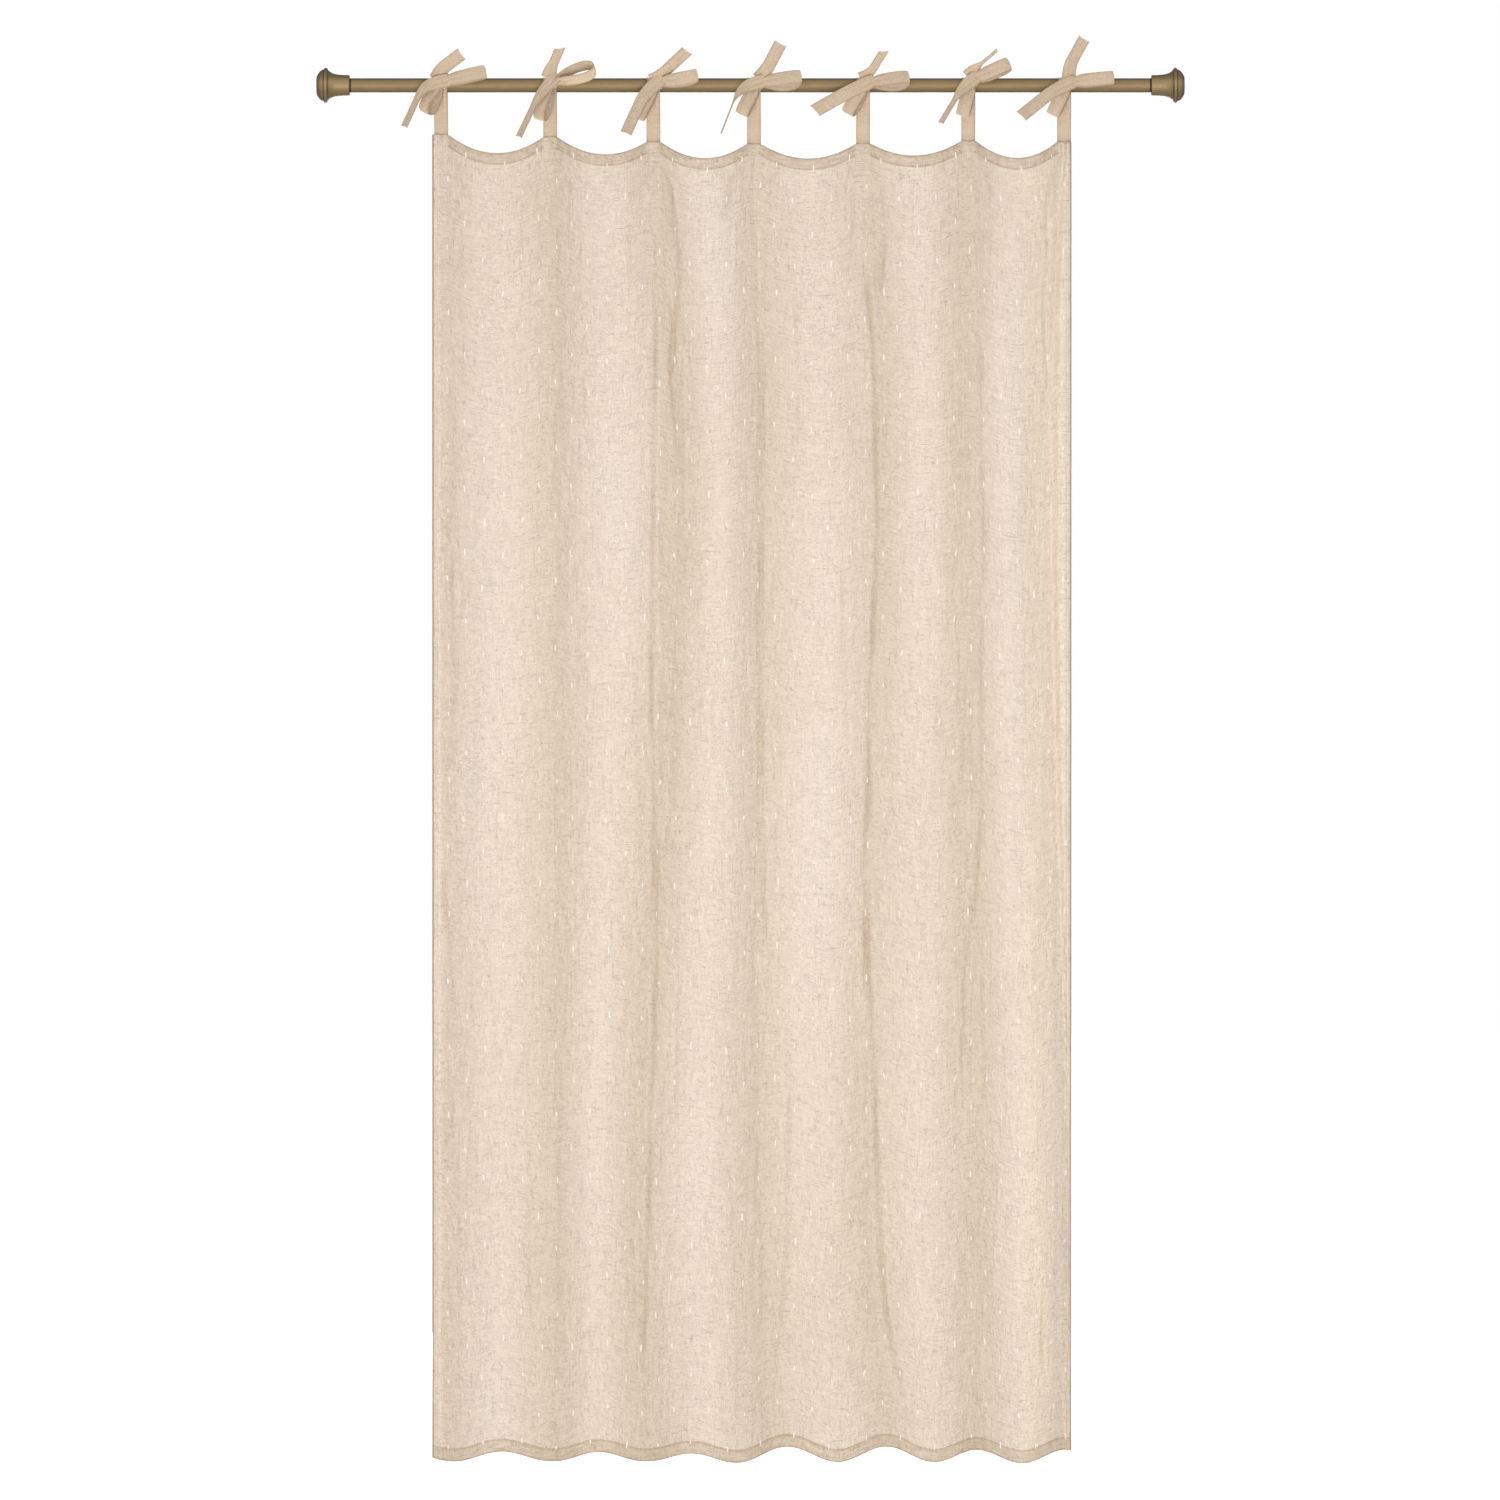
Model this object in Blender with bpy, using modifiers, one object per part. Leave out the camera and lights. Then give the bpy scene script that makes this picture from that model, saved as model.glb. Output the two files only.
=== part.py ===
"""Tie top curtain: a light cloth panel that hangs from a metal rod by seven tapes tied in bows.

Metres, +Z up. The origin is the middle of the rod's axis, +X runs along the rod to the
right as seen from the front, and the front of the curtain faces -Y.
"""

import math
from collections import namedtuple

import bmesh
import bpy
import numpy as np
from mathutils import Vector

# Clearance between neighbouring pieces
GAP = 0.0003

# Rod
ROD_LENGTH = 1.620
ROD_RADIUS = 0.014
ROD_WALL = 0.0012
ROUND_SIDES = 24

# Finials, measured from the flat tip inwards
FINIAL_LENGTH = 0.065
TIP_RADIUS = 0.0167
DOME_RADIUS = 0.0310
DOME_DEPTH = 0.0138
DOME_FULLNESS = 1.8
BEAD_RADIUS = 0.0042
BEAD_SINK = 0.0006
BEAD_ARC = 132
NECK_RADIUS = 0.0202
FLARE_FADE = 0.0088
FLARE_SPACING = 1.4
LIP_RADIUS = 0.0014
SOCKET_DEPTH = 0.0215

# Grub screws in the backs of the finial necks
SCREW_RADIUS = 0.0025
SCREW_INSET = 0.0008
SCREW_FROM_MOUTH = 0.009
KEY_WIDTH = 0.0025
KEY_DEPTH = 0.0022

# Cloth panel
FLAT_WIDTH = 1.400
HUNG_WIDTH = 1.258
HUNG_OFF_CENTRE = 0.0025
CLOTH_LENGTH = 2.600
CLOTH_THICKNESS = 0.0010
HEM_THICKNESS = 0.0024
TOP_HEM = 0.022
FOOT_HEM = 0.0245
SIDE_HEM = 0.012
HEM_STEP = 0.0016
BAY_COLUMNS = 9
PANEL_ROWS = 14

# Folds: a valley runs down from each tape, with a bulge to the front in each bay between two
VALLEY_SHARPNESS = 0.85
LEAST_BULGE = 0.014
MOST_BULGE = 0.120
FOLD_POINTS = 41
HALVINGS = 24
DRIFT_LEVELS = (0.0, 0.20, 0.55, 1.0)
SCALLOP_SAGS = (0.035, 0.031, 0.032, 0.030, 0.028, 0.035)
HEM_LIFTS = (0.021, 0.021, 0.019, 0.029, 0.029, 0.023)
HEM_WAVE_SCALE = 0.914
HEM_WAVE_SHIFT = -0.0305

# Tapes
TAPE_WIDTH = 0.027
TAPE_THICKNESS = 0.0014
TAPE_INSET = 0.018
TAPE_SEAM = 0.018

# Bows. The knot's sizes are half its length, width and depth.
KNOT_HALF_LENGTH = 0.0165
KNOT_HALF_WIDTH = 0.0140
KNOT_HALF_DEPTH = 0.0088
KNOT_SEATING = 0.7
LOOP_PINCH = 0.66
PINCH_REACH = 0.25
LOOP_ROOT = 0.03
DROOP_ONSET = 2
DROOP_RECOVERY = 3
BOW_LEAN = 0.20
BEND_SHARE = 0.55
UPPER_TAIL_SET_BACK = 0.001
WRAP_REACH = 0.92
WRAP_TURN = 78
WRAP_STEPS = 3
LOOP_STEPS = 10
TAIL_STEPS = 8

# Sewn straps. The first layer ends inside the knot and the last one just behind it.
STRAP_END_DROP = 0.001
STRAP_LEVEL_DROP = 0.006
STRAP_ARC = 165
STRAP_ARC_STEPS = 8

# Angles are in degrees in the plane of the curtain, from +X towards +Z. A turn of 0 shows the
# tape's full width to the front, and a turn of 90 shows its edge. root: where a loose end starts,
# from the knot's middle. skew: how much further its right-hand edge reaches at the free end.
# droop: how far a loop's second layer hangs below its first.
Tail = namedtuple("Tail", "root start_angle end_angle length start_turn end_turn skew")
Loop = namedtuple("Loop", "angle length belly turn droop")
# slip: how far the tape has slid from its even place on the rod. drop: rod axis to the top of
# the cloth. drifts: how far the valley below lies from the tape at the last three levels.
# knot: the knot's middle from the tape's place on the rod's axis.
Tie = namedtuple("Tie", "slip drop drifts knot upper_tail left_tail right_loop lower_loop")
TIES = (
    Tie(0.0010, 0.0966, (0.004, 0.006, 0.008), (0.001, 0.005),
        Tail((-0.0105, 0.0060), 62, 36, 0.071, 4, 20, 0.0),
        Tail((0.0020, 0.0005), 193, 246, 0.123, 5, 60, 0.0),
        Loop(12, 0.090, 0.008, -4, 0.0), Loop(244, 0.068, 0.014, 40, 0.0)),
    Tie(0.0115, 0.1015, (0.002, 0.006, 0.004), (0.003, 0.006),
        Tail((-0.0070, 0.0070), 70, 66, 0.062, 0, 50, 0.012),
        Tail((0.0020, 0.0010), 227, 245, 0.130, 25, 62, 0.0),
        Loop(16, 0.089, 0.016, 50, 0.0), Loop(254, 0.079, 0.010, 35, 0.0)),
    Tie(0.0105, 0.1114, (0.046, 0.006, -0.014), (0.006, 0.003),
        Tail((-0.0130, 0.0080), 22, 42, 0.092, 58, 36, 0.006),
        Tail((0.0020, 0.0010), 222, 246, 0.120, 10, 32, 0.0),
        Loop(10, 0.082, 0.008, 8, 0.005), Loop(243, 0.079, 0.005, 15, 0.0)),
    Tie(0.0045, 0.1153, (0.012, 0.010, 0.036), (0.006, 0.003),
        Tail((0.0015, 0.0080), 45, 62, 0.082, 4, 24, 0.0),
        Tail((0.0020, 0.0010), 198, 249, 0.132, 8, 84, 0.0),
        Loop(7, 0.087, 0.009, -12, 0.009), Loop(244, 0.069, 0.007, 14, 0.0)),
    Tie(0.0150, 0.1143, (0.042, 0.012, 0.052), (0.006, 0.003),
        Tail((-0.0128, 0.0100), 22, 58, 0.071, 42, 55, 0.012),
        Tail((0.0020, -0.0010), 204, 210, 0.117, 6, 4, 0.006),
        Loop(6, 0.084, 0.009, -20, 0.008), Loop(239, 0.071, 0.009, 20, 0.0)),
    Tie(0.0180, 0.1094, (-0.010, 0.004, 0.006), (0.006, 0.008),
        Tail((-0.0080, 0.0075), 46, 40, 0.077, 10, 80, 0.0),
        Tail((0.0020, 0.0010), 220, 239, 0.108, 10, 68, 0.0),
        Loop(23.5, 0.080, 0.008, -10, 0.002), Loop(255, 0.072, 0.006, 6, 0.0)),
    Tie(0.0025, 0.1114, (-0.026, -0.010, 0.000), (0.007, 0.005),
        Tail((0.0010, 0.0075), 88, 61, 0.083, 10, 32, 0.0),
        Tail((0.0020, -0.0030), 204, 219, 0.116, 10, 20, 0.003),
        Loop(4.5, 0.0885, 0.006, -5, 0.0), Loop(244.5, 0.0725, 0.005, 10, 0.0)),
)

BAYS = len(TIES) - 1
LEFT_EDGE = HUNG_OFF_CENTRE - HUNG_WIDTH / 2
RIGHT_EDGE = HUNG_OFF_CENTRE + HUNG_WIDTH / 2
FLAT_PITCH = (FLAT_WIDTH - 2 * TAPE_INSET) / BAYS
EDGE_TO_TAPE = TAPE_INSET * HUNG_WIDTH / FLAT_WIDTH
MEAN_DROP = sum(tie.drop for tie in TIES) / len(TIES)
FINIAL_MOUTH = ROD_LENGTH / 2 - SOCKET_DEPTH + GAP
TAPE_PATH_RADIUS = (ROD_RADIUS + GAP + TAPE_THICKNESS / 2) / math.cos(math.pi / ROUND_SIDES)
KNOT_FRONT = -(ROD_RADIUS + GAP + KNOT_HALF_DEPTH * KNOT_SEATING)


def clear_scene():
    for thing in list(bpy.data.objects):
        bpy.data.objects.remove(thing, do_unlink=True)


def make_collection(name, hidden=False):
    collection = bpy.data.collections.new(name)
    collection.hide_render = hidden
    bpy.context.scene.collection.children.link(collection)
    return collection


def make_material(name, srgb, roughness, metallic=0.0):
    """A Principled material; srgb holds the colour as 0 to 255 values."""
    material = bpy.data.materials.new(name)
    material.use_nodes = True
    shader = material.node_tree.nodes["Principled BSDF"]
    linear = [(value / 255) ** 2.2 for value in srgb]
    shader.inputs["Base Color"].default_value = (*linear, 1.0)
    shader.inputs["Roughness"].default_value = roughness
    shader.inputs["Metallic"].default_value = metallic
    return material


def add_object(name, mesh, collection, material=None):
    thing = bpy.data.objects.new(name, mesh)
    collection.objects.link(thing)
    if material:
        mesh.materials.append(material)
    return thing


def hide_helper(thing):
    thing.hide_render = True
    thing.display_type = "WIRE"
    return thing


def smooth(fraction):
    """0 to 1 with level ends."""
    fraction = np.clip(fraction, 0.0, 1.0)
    return fraction * fraction * (3 - 2 * fraction)


def boolean(thing, other, operation):
    modifier = thing.modifiers.new(f"{operation.lower()} {other.name}", "BOOLEAN")
    modifier.operation = operation
    modifier.solver = "EXACT"
    modifier.use_self = operation == "UNION"
    modifier.object = other
    return modifier


def turned(name, profile, collection, closed=False, material=None):
    """Turns a profile of (radius, height) points, listed down its outer side, about Z."""
    mesh = bpy.data.meshes.new(name)
    count = len(profile)
    edges = [(i, i + 1) for i in range(count - 1)]
    if closed:
        edges.append((count - 1, 0))
    mesh.from_pydata([(radius, 0, height) for radius, height in profile], edges, [])
    thing = add_object(name, mesh, collection, material)
    screw = thing.modifiers.new("turn", "SCREW")
    screw.steps = screw.render_steps = ROUND_SIDES
    screw.use_merge_vertices = True
    screw.merge_threshold = 0.00001
    screw.use_smooth_shade = True
    return thing


def turned_mesh(thing):
    """Replaces an object's modifiers with the mesh that they make."""
    bpy.context.view_layer.update()
    graph = bpy.context.evaluated_depsgraph_get()
    mesh = bpy.data.meshes.new_from_object(thing.evaluated_get(graph))
    thing.modifiers.clear()
    thing.data = mesh
    mesh.shade_smooth()
    mesh.set_sharp_from_angle(angle=math.radians(40))
    return mesh


def grid_sheet(name, columns, rows, place, collection, material=None):
    """A grid of points, each put where place(column, row) says, and each point's column and row."""
    sheet = bmesh.new()
    bmesh.ops.create_grid(sheet, x_segments=columns - 1, y_segments=rows - 1, size=0.5)
    slots = []
    for vertex in sheet.verts:
        column = round((vertex.co.x + 0.5) * (columns - 1))
        row = round((vertex.co.y + 0.5) * (rows - 1))
        vertex.co = place(column, row)
        slots.append((column, row))
    mesh = bpy.data.meshes.new(name)
    sheet.to_mesh(mesh)
    sheet.free()
    return add_object(name, mesh, collection, material), slots


def solidify(thing, thickness):
    modifier = thing.modifiers.new("thickness", "SOLIDIFY")
    modifier.thickness = thickness
    modifier.offset = 0.0
    modifier.use_even_offset = True
    return modifier


# Rod and finials


def rod_tube(collection, material):
    inner = ROD_RADIUS - ROD_WALL
    half = ROD_LENGTH / 2
    profile = [(ROD_RADIUS, half), (ROD_RADIUS, -half), (inner, -half), (inner, half)]
    rod = turned("rod_tube", profile, collection, closed=True, material=material)
    turned_mesh(rod)
    rod.rotation_euler = (0, math.pi / 2, 0)
    return rod


def finial_profile():
    """Radius against height above the mouth, from the middle of the tip round to the socket's end."""
    points = [(0.0, FINIAL_LENGTH)]
    for step in range(6):
        angle = math.pi / 2 * step / 5
        swell = math.sin(angle) ** DOME_FULLNESS
        radius = TIP_RADIUS + (DOME_RADIUS - TIP_RADIUS) * swell
        points.append((radius, FINIAL_LENGTH - DOME_DEPTH * (1 - math.cos(angle))))
    bead_height = FINIAL_LENGTH - DOME_DEPTH - BEAD_RADIUS
    for step in range(5):
        angle = math.radians(BEAD_ARC * (0.5 - step / 4))
        radius = DOME_RADIUS - BEAD_SINK + BEAD_RADIUS * math.cos(angle)
        points.append((radius, bead_height + BEAD_RADIUS * math.sin(angle)))
    flare_top = bead_height - BEAD_RADIUS
    flare_length = flare_top - LIP_RADIUS
    for step in range(7):
        drop = flare_length * (step / 6) ** FLARE_SPACING
        flare = (DOME_RADIUS - NECK_RADIUS) * math.exp(-drop / FLARE_FADE)
        points.append((NECK_RADIUS + flare, flare_top - drop))
    half_round = LIP_RADIUS * (1 - math.cos(math.pi / 4))
    points.append((NECK_RADIUS - half_round, half_round))
    points.append((NECK_RADIUS - LIP_RADIUS, 0.0))
    socket_radius = ROD_RADIUS + GAP
    points += [(socket_radius, 0.0), (socket_radius, SOCKET_DEPTH), (0.0, SOCKET_DEPTH)]
    return points


def cylinder(name, radius, depth, sides, collection, material=None):
    """A cylinder or prism along Z with its lower end at the origin."""
    body = bmesh.new()
    bmesh.ops.create_cone(body, cap_ends=True, segments=sides, radius1=radius, radius2=radius,
                          depth=depth)
    bmesh.ops.translate(body, verts=body.verts, vec=(0, 0, depth / 2))
    mesh = bpy.data.meshes.new(name)
    body.to_mesh(mesh)
    body.free()
    return add_object(name, mesh, collection, material)


def finial(side, label, collection, helpers, metal, steel):
    """One cap on an end of the rod, side +1 or -1, with the grub screw that holds it."""
    cap = turned(f"finial_{label}", finial_profile(), collection, material=metal)
    turned_mesh(cap)
    cap.location = (side * FINIAL_MOUTH, 0, 0)
    cap.rotation_euler = (0, side * math.pi / 2, 0)
    screw_x = side * (FINIAL_MOUTH + SCREW_FROM_MOUTH)
    towards_wall = (-math.pi / 2, 0, 0)
    hole = cylinder(f"screw_hole_{label}", SCREW_RADIUS + GAP, DOME_RADIUS, 14, helpers)
    hole.location = (screw_x, ROD_RADIUS - ROD_WALL, 0)
    hole.rotation_euler = towards_wall
    boolean(cap, hide_helper(hole), "DIFFERENCE")
    screw_foot = ROD_RADIUS + GAP
    screw_length = NECK_RADIUS - SCREW_INSET - screw_foot
    screw = cylinder(f"finial_screw_{label}", SCREW_RADIUS, screw_length, 14, collection, steel)
    screw.location = (screw_x, screw_foot, 0)
    screw.rotation_euler = towards_wall
    key = cylinder(f"key_socket_{label}", KEY_WIDTH / 2, KEY_DEPTH * 2, 6, helpers)
    key.location = (screw_x, screw_foot + screw_length - KEY_DEPTH, 0)
    key.rotation_euler = towards_wall
    boolean(screw, hide_helper(key), "DIFFERENCE")


# Cloth panel


def tape_x(index):
    """Where a tape hangs on the rod."""
    share = index / BAYS
    even = (LEFT_EDGE + EDGE_TO_TAPE) * (1 - share) + (RIGHT_EDGE - EDGE_TO_TAPE) * share
    return even + TIES[index].slip


TAPE_XS = np.array([tape_x(index) for index in range(len(TIES))])
TAPE_TOPS = np.array([-tie.drop for tie in TIES])


def top_height(x):
    """The scalloped top edge: level across each tape, with a shallow arc from one to the next."""
    bay = np.clip(np.searchsorted(TAPE_XS, x) - 1, 0, BAYS - 1)
    start = TAPE_XS[bay] + TAPE_WIDTH / 2
    end = TAPE_XS[bay + 1] - TAPE_WIDTH / 2
    share = np.clip((x - start) / (end - start), 0.0, 1.0)
    line = TAPE_TOPS[bay] + (TAPE_TOPS[bay + 1] - TAPE_TOPS[bay]) * share
    return line - 4 * np.array(SCALLOP_SAGS)[bay] * share * (1 - share)


def hem_height(x):
    """The wavy lower edge, which is lowest near each tape's line and lifts between."""
    lows = HEM_WAVE_SHIFT + HEM_WAVE_SCALE * TAPE_XS
    lows = np.concatenate([[2 * lows[0] - lows[1]], lows, [2 * lows[-1] - lows[-2]]])
    phase = np.interp(x, lows, np.arange(len(lows)))
    bay = np.clip(phase.astype(int) - 1, 0, BAYS - 1)
    lift = np.array(HEM_LIFTS)[bay] * (1 - np.cos(2 * math.pi * phase)) / 2
    return -MEAN_DROP - CLOTH_LENGTH + lift


def valley_drifts(level):
    """How far each valley lies from its tape's line at a level, 0 at the top and 1 at the foot."""
    drifts = []
    for tie in TIES:
        curve = np.polyfit(DRIFT_LEVELS, (0.0, *tie.drifts), len(DRIFT_LEVELS) - 1)
        drifts.append(np.polyval(curve, level))
    return np.array(drifts)


def bulge_shape(share):
    rounded = (1 - np.cos(2 * math.pi * share)) / 2
    return (1 - VALLEY_SHARPNESS) * rounded + VALLEY_SHARPNESS * np.sin(math.pi * share)


def flap_shape(share):
    return smooth(share)


def fold_span(start_x, end_x, level, flat, shape):
    """Points across one fold whose length along the cloth is flat, and the depth that gives it."""
    share = np.linspace(0.0, 1.0, FOLD_POINTS)
    x = start_x + (end_x - start_x) * share
    z = (1 - level) * top_height(x) + level * hem_height(x)
    form = shape(share)
    shallow, deep = 0.0, MOST_BULGE
    for _ in range(HALVINGS):
        depth = (shallow + deep) / 2
        length = np.sqrt(np.diff(x) ** 2 + np.diff(depth * form) ** 2 + np.diff(z) ** 2).sum()
        if length < flat:
            shallow = depth
        else:
            deep = depth
    return x, depth, form, z


def panel_row(level, flats):
    """The points of one row of the cloth at the given places across its flat width."""
    drifts = valley_drifts(level)
    ends = np.concatenate([[LEFT_EDGE], TAPE_XS + drifts, [RIGHT_EDGE]])
    marks = TAPE_INSET + FLAT_PITCH * np.arange(len(TIES)) + drifts * FLAT_WIDTH / HUNG_WIDTH
    marks = np.concatenate([[0.0], marks, [FLAT_WIDTH]])
    spans = []
    for index in range(len(marks) - 1):
        flat = marks[index + 1] - marks[index]
        if index == 0:
            x, depth, form, z = fold_span(ends[1], ends[0], level, flat, flap_shape)
            spans.append((x[::-1], depth * form[::-1], z[::-1]))
        elif index == len(marks) - 2:
            x, depth, form, z = fold_span(ends[-2], ends[-1], level, flat, flap_shape)
            spans.append((x, depth * form, z))
        else:
            x, depth, form, z = fold_span(ends[index], ends[index + 1], level, flat, bulge_shape)
            spans.append((x, max(depth, LEAST_BULGE) * form, z))
    places, xs, ys, zs = [], [], [], []
    for index, (x, forward, z) in enumerate(spans):
        steps = np.sqrt(np.diff(x) ** 2 + np.diff(forward) ** 2 + np.diff(z) ** 2)
        along = np.concatenate([[0.0], np.cumsum(steps)])
        share = along / along[-1]
        places.append(marks[index] + (marks[index + 1] - marks[index]) * share)
        xs.append(x)
        ys.append(-forward)
        zs.append(z)
    places, xs, ys, zs = (np.concatenate(part) for part in (places, xs, ys, zs))
    mean_depth = -((ys[1:] + ys[:-1]) / 2 * np.diff(xs)).sum() / HUNG_WIDTH
    ys = ys + mean_depth
    return np.stack([np.interp(flats, places, part) for part in (xs, ys, zs)], axis=1)


def hem_stations(length, first_hem, last_hem, inner):
    """Places along a length: its ends, a thin step at each hem's inner edge, and those inside."""
    half = HEM_STEP / 2
    first, last = first_hem + half, length - last_hem - half
    kept = [place for place in inner if first + half < place < last - half]
    return np.array([0.0, first_hem - half, first, *kept, last, length - last_hem + half, length])


def column_stations():
    """Places across the flat cloth: the edges of each tape, and even steps between two tapes."""
    inner = []
    for index in range(len(TIES)):
        mark = TAPE_INSET + FLAT_PITCH * index
        free = FLAT_PITCH - TAPE_WIDTH
        inner.append(mark - TAPE_WIDTH / 2)
        inner.append(mark + TAPE_WIDTH / 2)
        inner += [mark + TAPE_WIDTH / 2 + free * step / BAY_COLUMNS for step in range(1, BAY_COLUMNS)]
    return hem_stations(FLAT_WIDTH, SIDE_HEM, SIDE_HEM, inner)


def row_stations():
    inner = np.linspace(0.0, CLOTH_LENGTH, PANEL_ROWS + 1)[1:-1]
    return hem_stations(CLOTH_LENGTH, TOP_HEM, FOOT_HEM, inner)


def curtain_panel(collection, material):
    columns, rows = column_stations(), row_stations()
    points = [panel_row(row / CLOTH_LENGTH, columns) for row in rows]
    last_row, last_column = len(rows) - 1, len(columns) - 1
    panel, slots = grid_sheet("curtain_panel", len(columns), len(rows),
                              lambda column, row: Vector(points[last_row - row][column]),
                              collection, material)
    hems = panel.vertex_groups.new(name="hems")
    hemmed = [index for index, (column, row) in enumerate(slots)
              if min(row, last_row - row, column, last_column - column) < 2]
    hems.add(hemmed, 1.0, "REPLACE")
    thickness = solidify(panel, HEM_THICKNESS)
    thickness.vertex_group = hems.name
    thickness.thickness_vertex_group = CLOTH_THICKNESS / HEM_THICKNESS
    panel.data.shade_smooth()
    return panel


# Tapes


def loop_width(share):
    """A loop is gathered where it enters the knot, and opens to its full width away from it."""
    from_knot = min(share, 1 - share) * 2
    return TAPE_WIDTH * (LOOP_PINCH + (1 - LOOP_PINCH) * smooth(from_knot / PINCH_REACH))


def ribbon(name, path, acrosses, widths, helpers, skew=Vector()):
    """A tape along a path, its width lying along acrosses, with its last end cut on a skew."""
    def place(column, row):
        aside = column - 0.5
        point = path[row] + acrosses[row] * (widths[row] * aside)
        return point - skew * aside if row == len(path) - 1 else point
    strip, _ = grid_sheet(name, 2, len(path), place, helpers)
    solidify(strip, TAPE_THICKNESS)
    strip.modifiers.new("flat faces", "TRIANGULATE")
    return hide_helper(strip)


def plane_direction(angle):
    return Vector((math.cos(math.radians(angle)), 0.0, math.sin(math.radians(angle))))


def turned_across(along, turn):
    """The direction of the tape's width: square to along, turned out of the curtain's plane."""
    turn = math.radians(turn)
    level = Vector((-along.z, 0.0, along.x)).normalized()
    return level * math.cos(turn) + Vector((0.0, -1.0, 0.0)) * math.sin(turn)


def tail_ribbon(name, knot, tail, wrapped, helpers):
    """A loose end of the tape. A wrapped one first comes round the knot from its far side."""
    path, acrosses = [], []
    depth = -KNOT_HALF_DEPTH if wrapped else UPPER_TAIL_SET_BACK
    point = knot + Vector((tail.root[0], depth, tail.root[1]))
    along = plane_direction(tail.start_angle)
    for step in range(WRAP_STEPS if wrapped else 0):
        angle = math.radians(WRAP_TURN * (step / WRAP_STEPS - 1))
        behind = KNOT_HALF_DEPTH * (1 - math.cos(angle))
        aside = along * (KNOT_HALF_LENGTH * WRAP_REACH * math.sin(angle))
        path.append(point + aside + Vector((0.0, behind, 0.0)))
        acrosses.append(turned_across(along, tail.start_turn))
    step = tail.length / TAIL_STEPS
    for index in range(TAIL_STEPS + 1):
        bent = float(smooth(index / TAIL_STEPS / BEND_SHARE))
        along = plane_direction(tail.start_angle + (tail.end_angle - tail.start_angle) * bent)
        turn = tail.start_turn + (tail.end_turn - tail.start_turn) * bent
        path.append(point.copy())
        acrosses.append(turned_across(along, turn))
        point = point + (along + Vector((0.0, -BOW_LEAN, 0.0))) * step
    return ribbon(name, path, acrosses, [TAPE_WIDTH] * len(path), helpers, along * tail.skew)


def loop_ribbon(name, knot, loop, helpers):
    """A loop of tape, out from the knot and back, open by its belly half way along."""
    along = plane_direction(loop.angle)
    across = turned_across(along, loop.turn)
    opening = along.cross(across)
    path, acrosses, widths = [], [], []
    for index in range(LOOP_STEPS + 1):
        share = LOOP_ROOT + (1 - 2 * LOOP_ROOT) * index / LOOP_STEPS
        reach = loop.length * math.sin(math.pi * share)
        belly = loop.belly * math.sin(2 * math.pi * share)
        recovered = smooth((1 - share) * DROOP_RECOVERY)
        droop = loop.droop * float(smooth((2 * share - 1) * DROOP_ONSET * recovered))
        lean = Vector((0.0, -BOW_LEAN * reach, 0.0))
        path.append(knot + along * reach + opening * belly - across * droop + lean)
        acrosses.append(across)
        widths.append(float(loop_width(share)))
    return ribbon(name, path, acrosses, widths, helpers)


def tape_seat(index):
    """The height of the cloth's top edge at a tape, and how far back its hem reaches there."""
    columns = column_stations()
    from_middle = abs(columns - TAPE_INSET - FLAT_PITCH * index)
    touching = columns[from_middle < TAPE_WIDTH / 2 + GAP]
    rows = [panel_row(depth / CLOTH_LENGTH, touching) for depth in (0.0, TAPE_SEAM)]
    return float(rows[0][0][2]), float(max(row[:, 1].max() for row in rows)) + HEM_THICKNESS / 2


def strap_ribbon(name, x, top, back, helpers):
    """The sewn end: folded behind the top hem, with one layer up each side of the rod."""
    near = back + GAP + TAPE_THICKNESS / 2
    layer = TAPE_THICKNESS + 2 * GAP
    seam_foot = top - TAPE_SEAM
    above = top + TAPE_THICKNESS
    profile = [(-TAPE_PATH_RADIUS, -STRAP_END_DROP), (-TAPE_PATH_RADIUS, -STRAP_LEVEL_DROP),
               (near, above),
               (near, seam_foot + layer / 2), (near + layer / 2, seam_foot),
               (near + layer, seam_foot + layer / 2), (near + layer, above)]
    for step in range(STRAP_ARC_STEPS + 1):
        angle = math.radians(STRAP_ARC * step / STRAP_ARC_STEPS)
        profile.append((TAPE_PATH_RADIUS * math.cos(angle), TAPE_PATH_RADIUS * math.sin(angle)))
    path = [Vector((x, y, z)) for y, z in profile]
    acrosses = [Vector((1.0, 0.0, 0.0))] * len(path)
    return ribbon(name, path, acrosses, [TAPE_WIDTH] * len(path), helpers)


def knot_core(name, centre, tilt, collection, material):
    """The tightened middle of the bow, longest along its tilt."""
    along = plane_direction(tilt) * KNOT_HALF_LENGTH
    across = plane_direction(tilt + 90) * KNOT_HALF_WIDTH
    core = bmesh.new()
    bmesh.ops.create_uvsphere(core, u_segments=10, v_segments=6, radius=1.0)
    for vertex in core.verts:
        right, back, up = vertex.co
        vertex.co = centre + along * right + across * up + Vector((0, KNOT_HALF_DEPTH * back, 0))
    mesh = bpy.data.meshes.new(name)
    core.to_mesh(mesh)
    core.free()
    mesh.shade_smooth()
    return add_object(name, mesh, collection, material)


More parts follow.
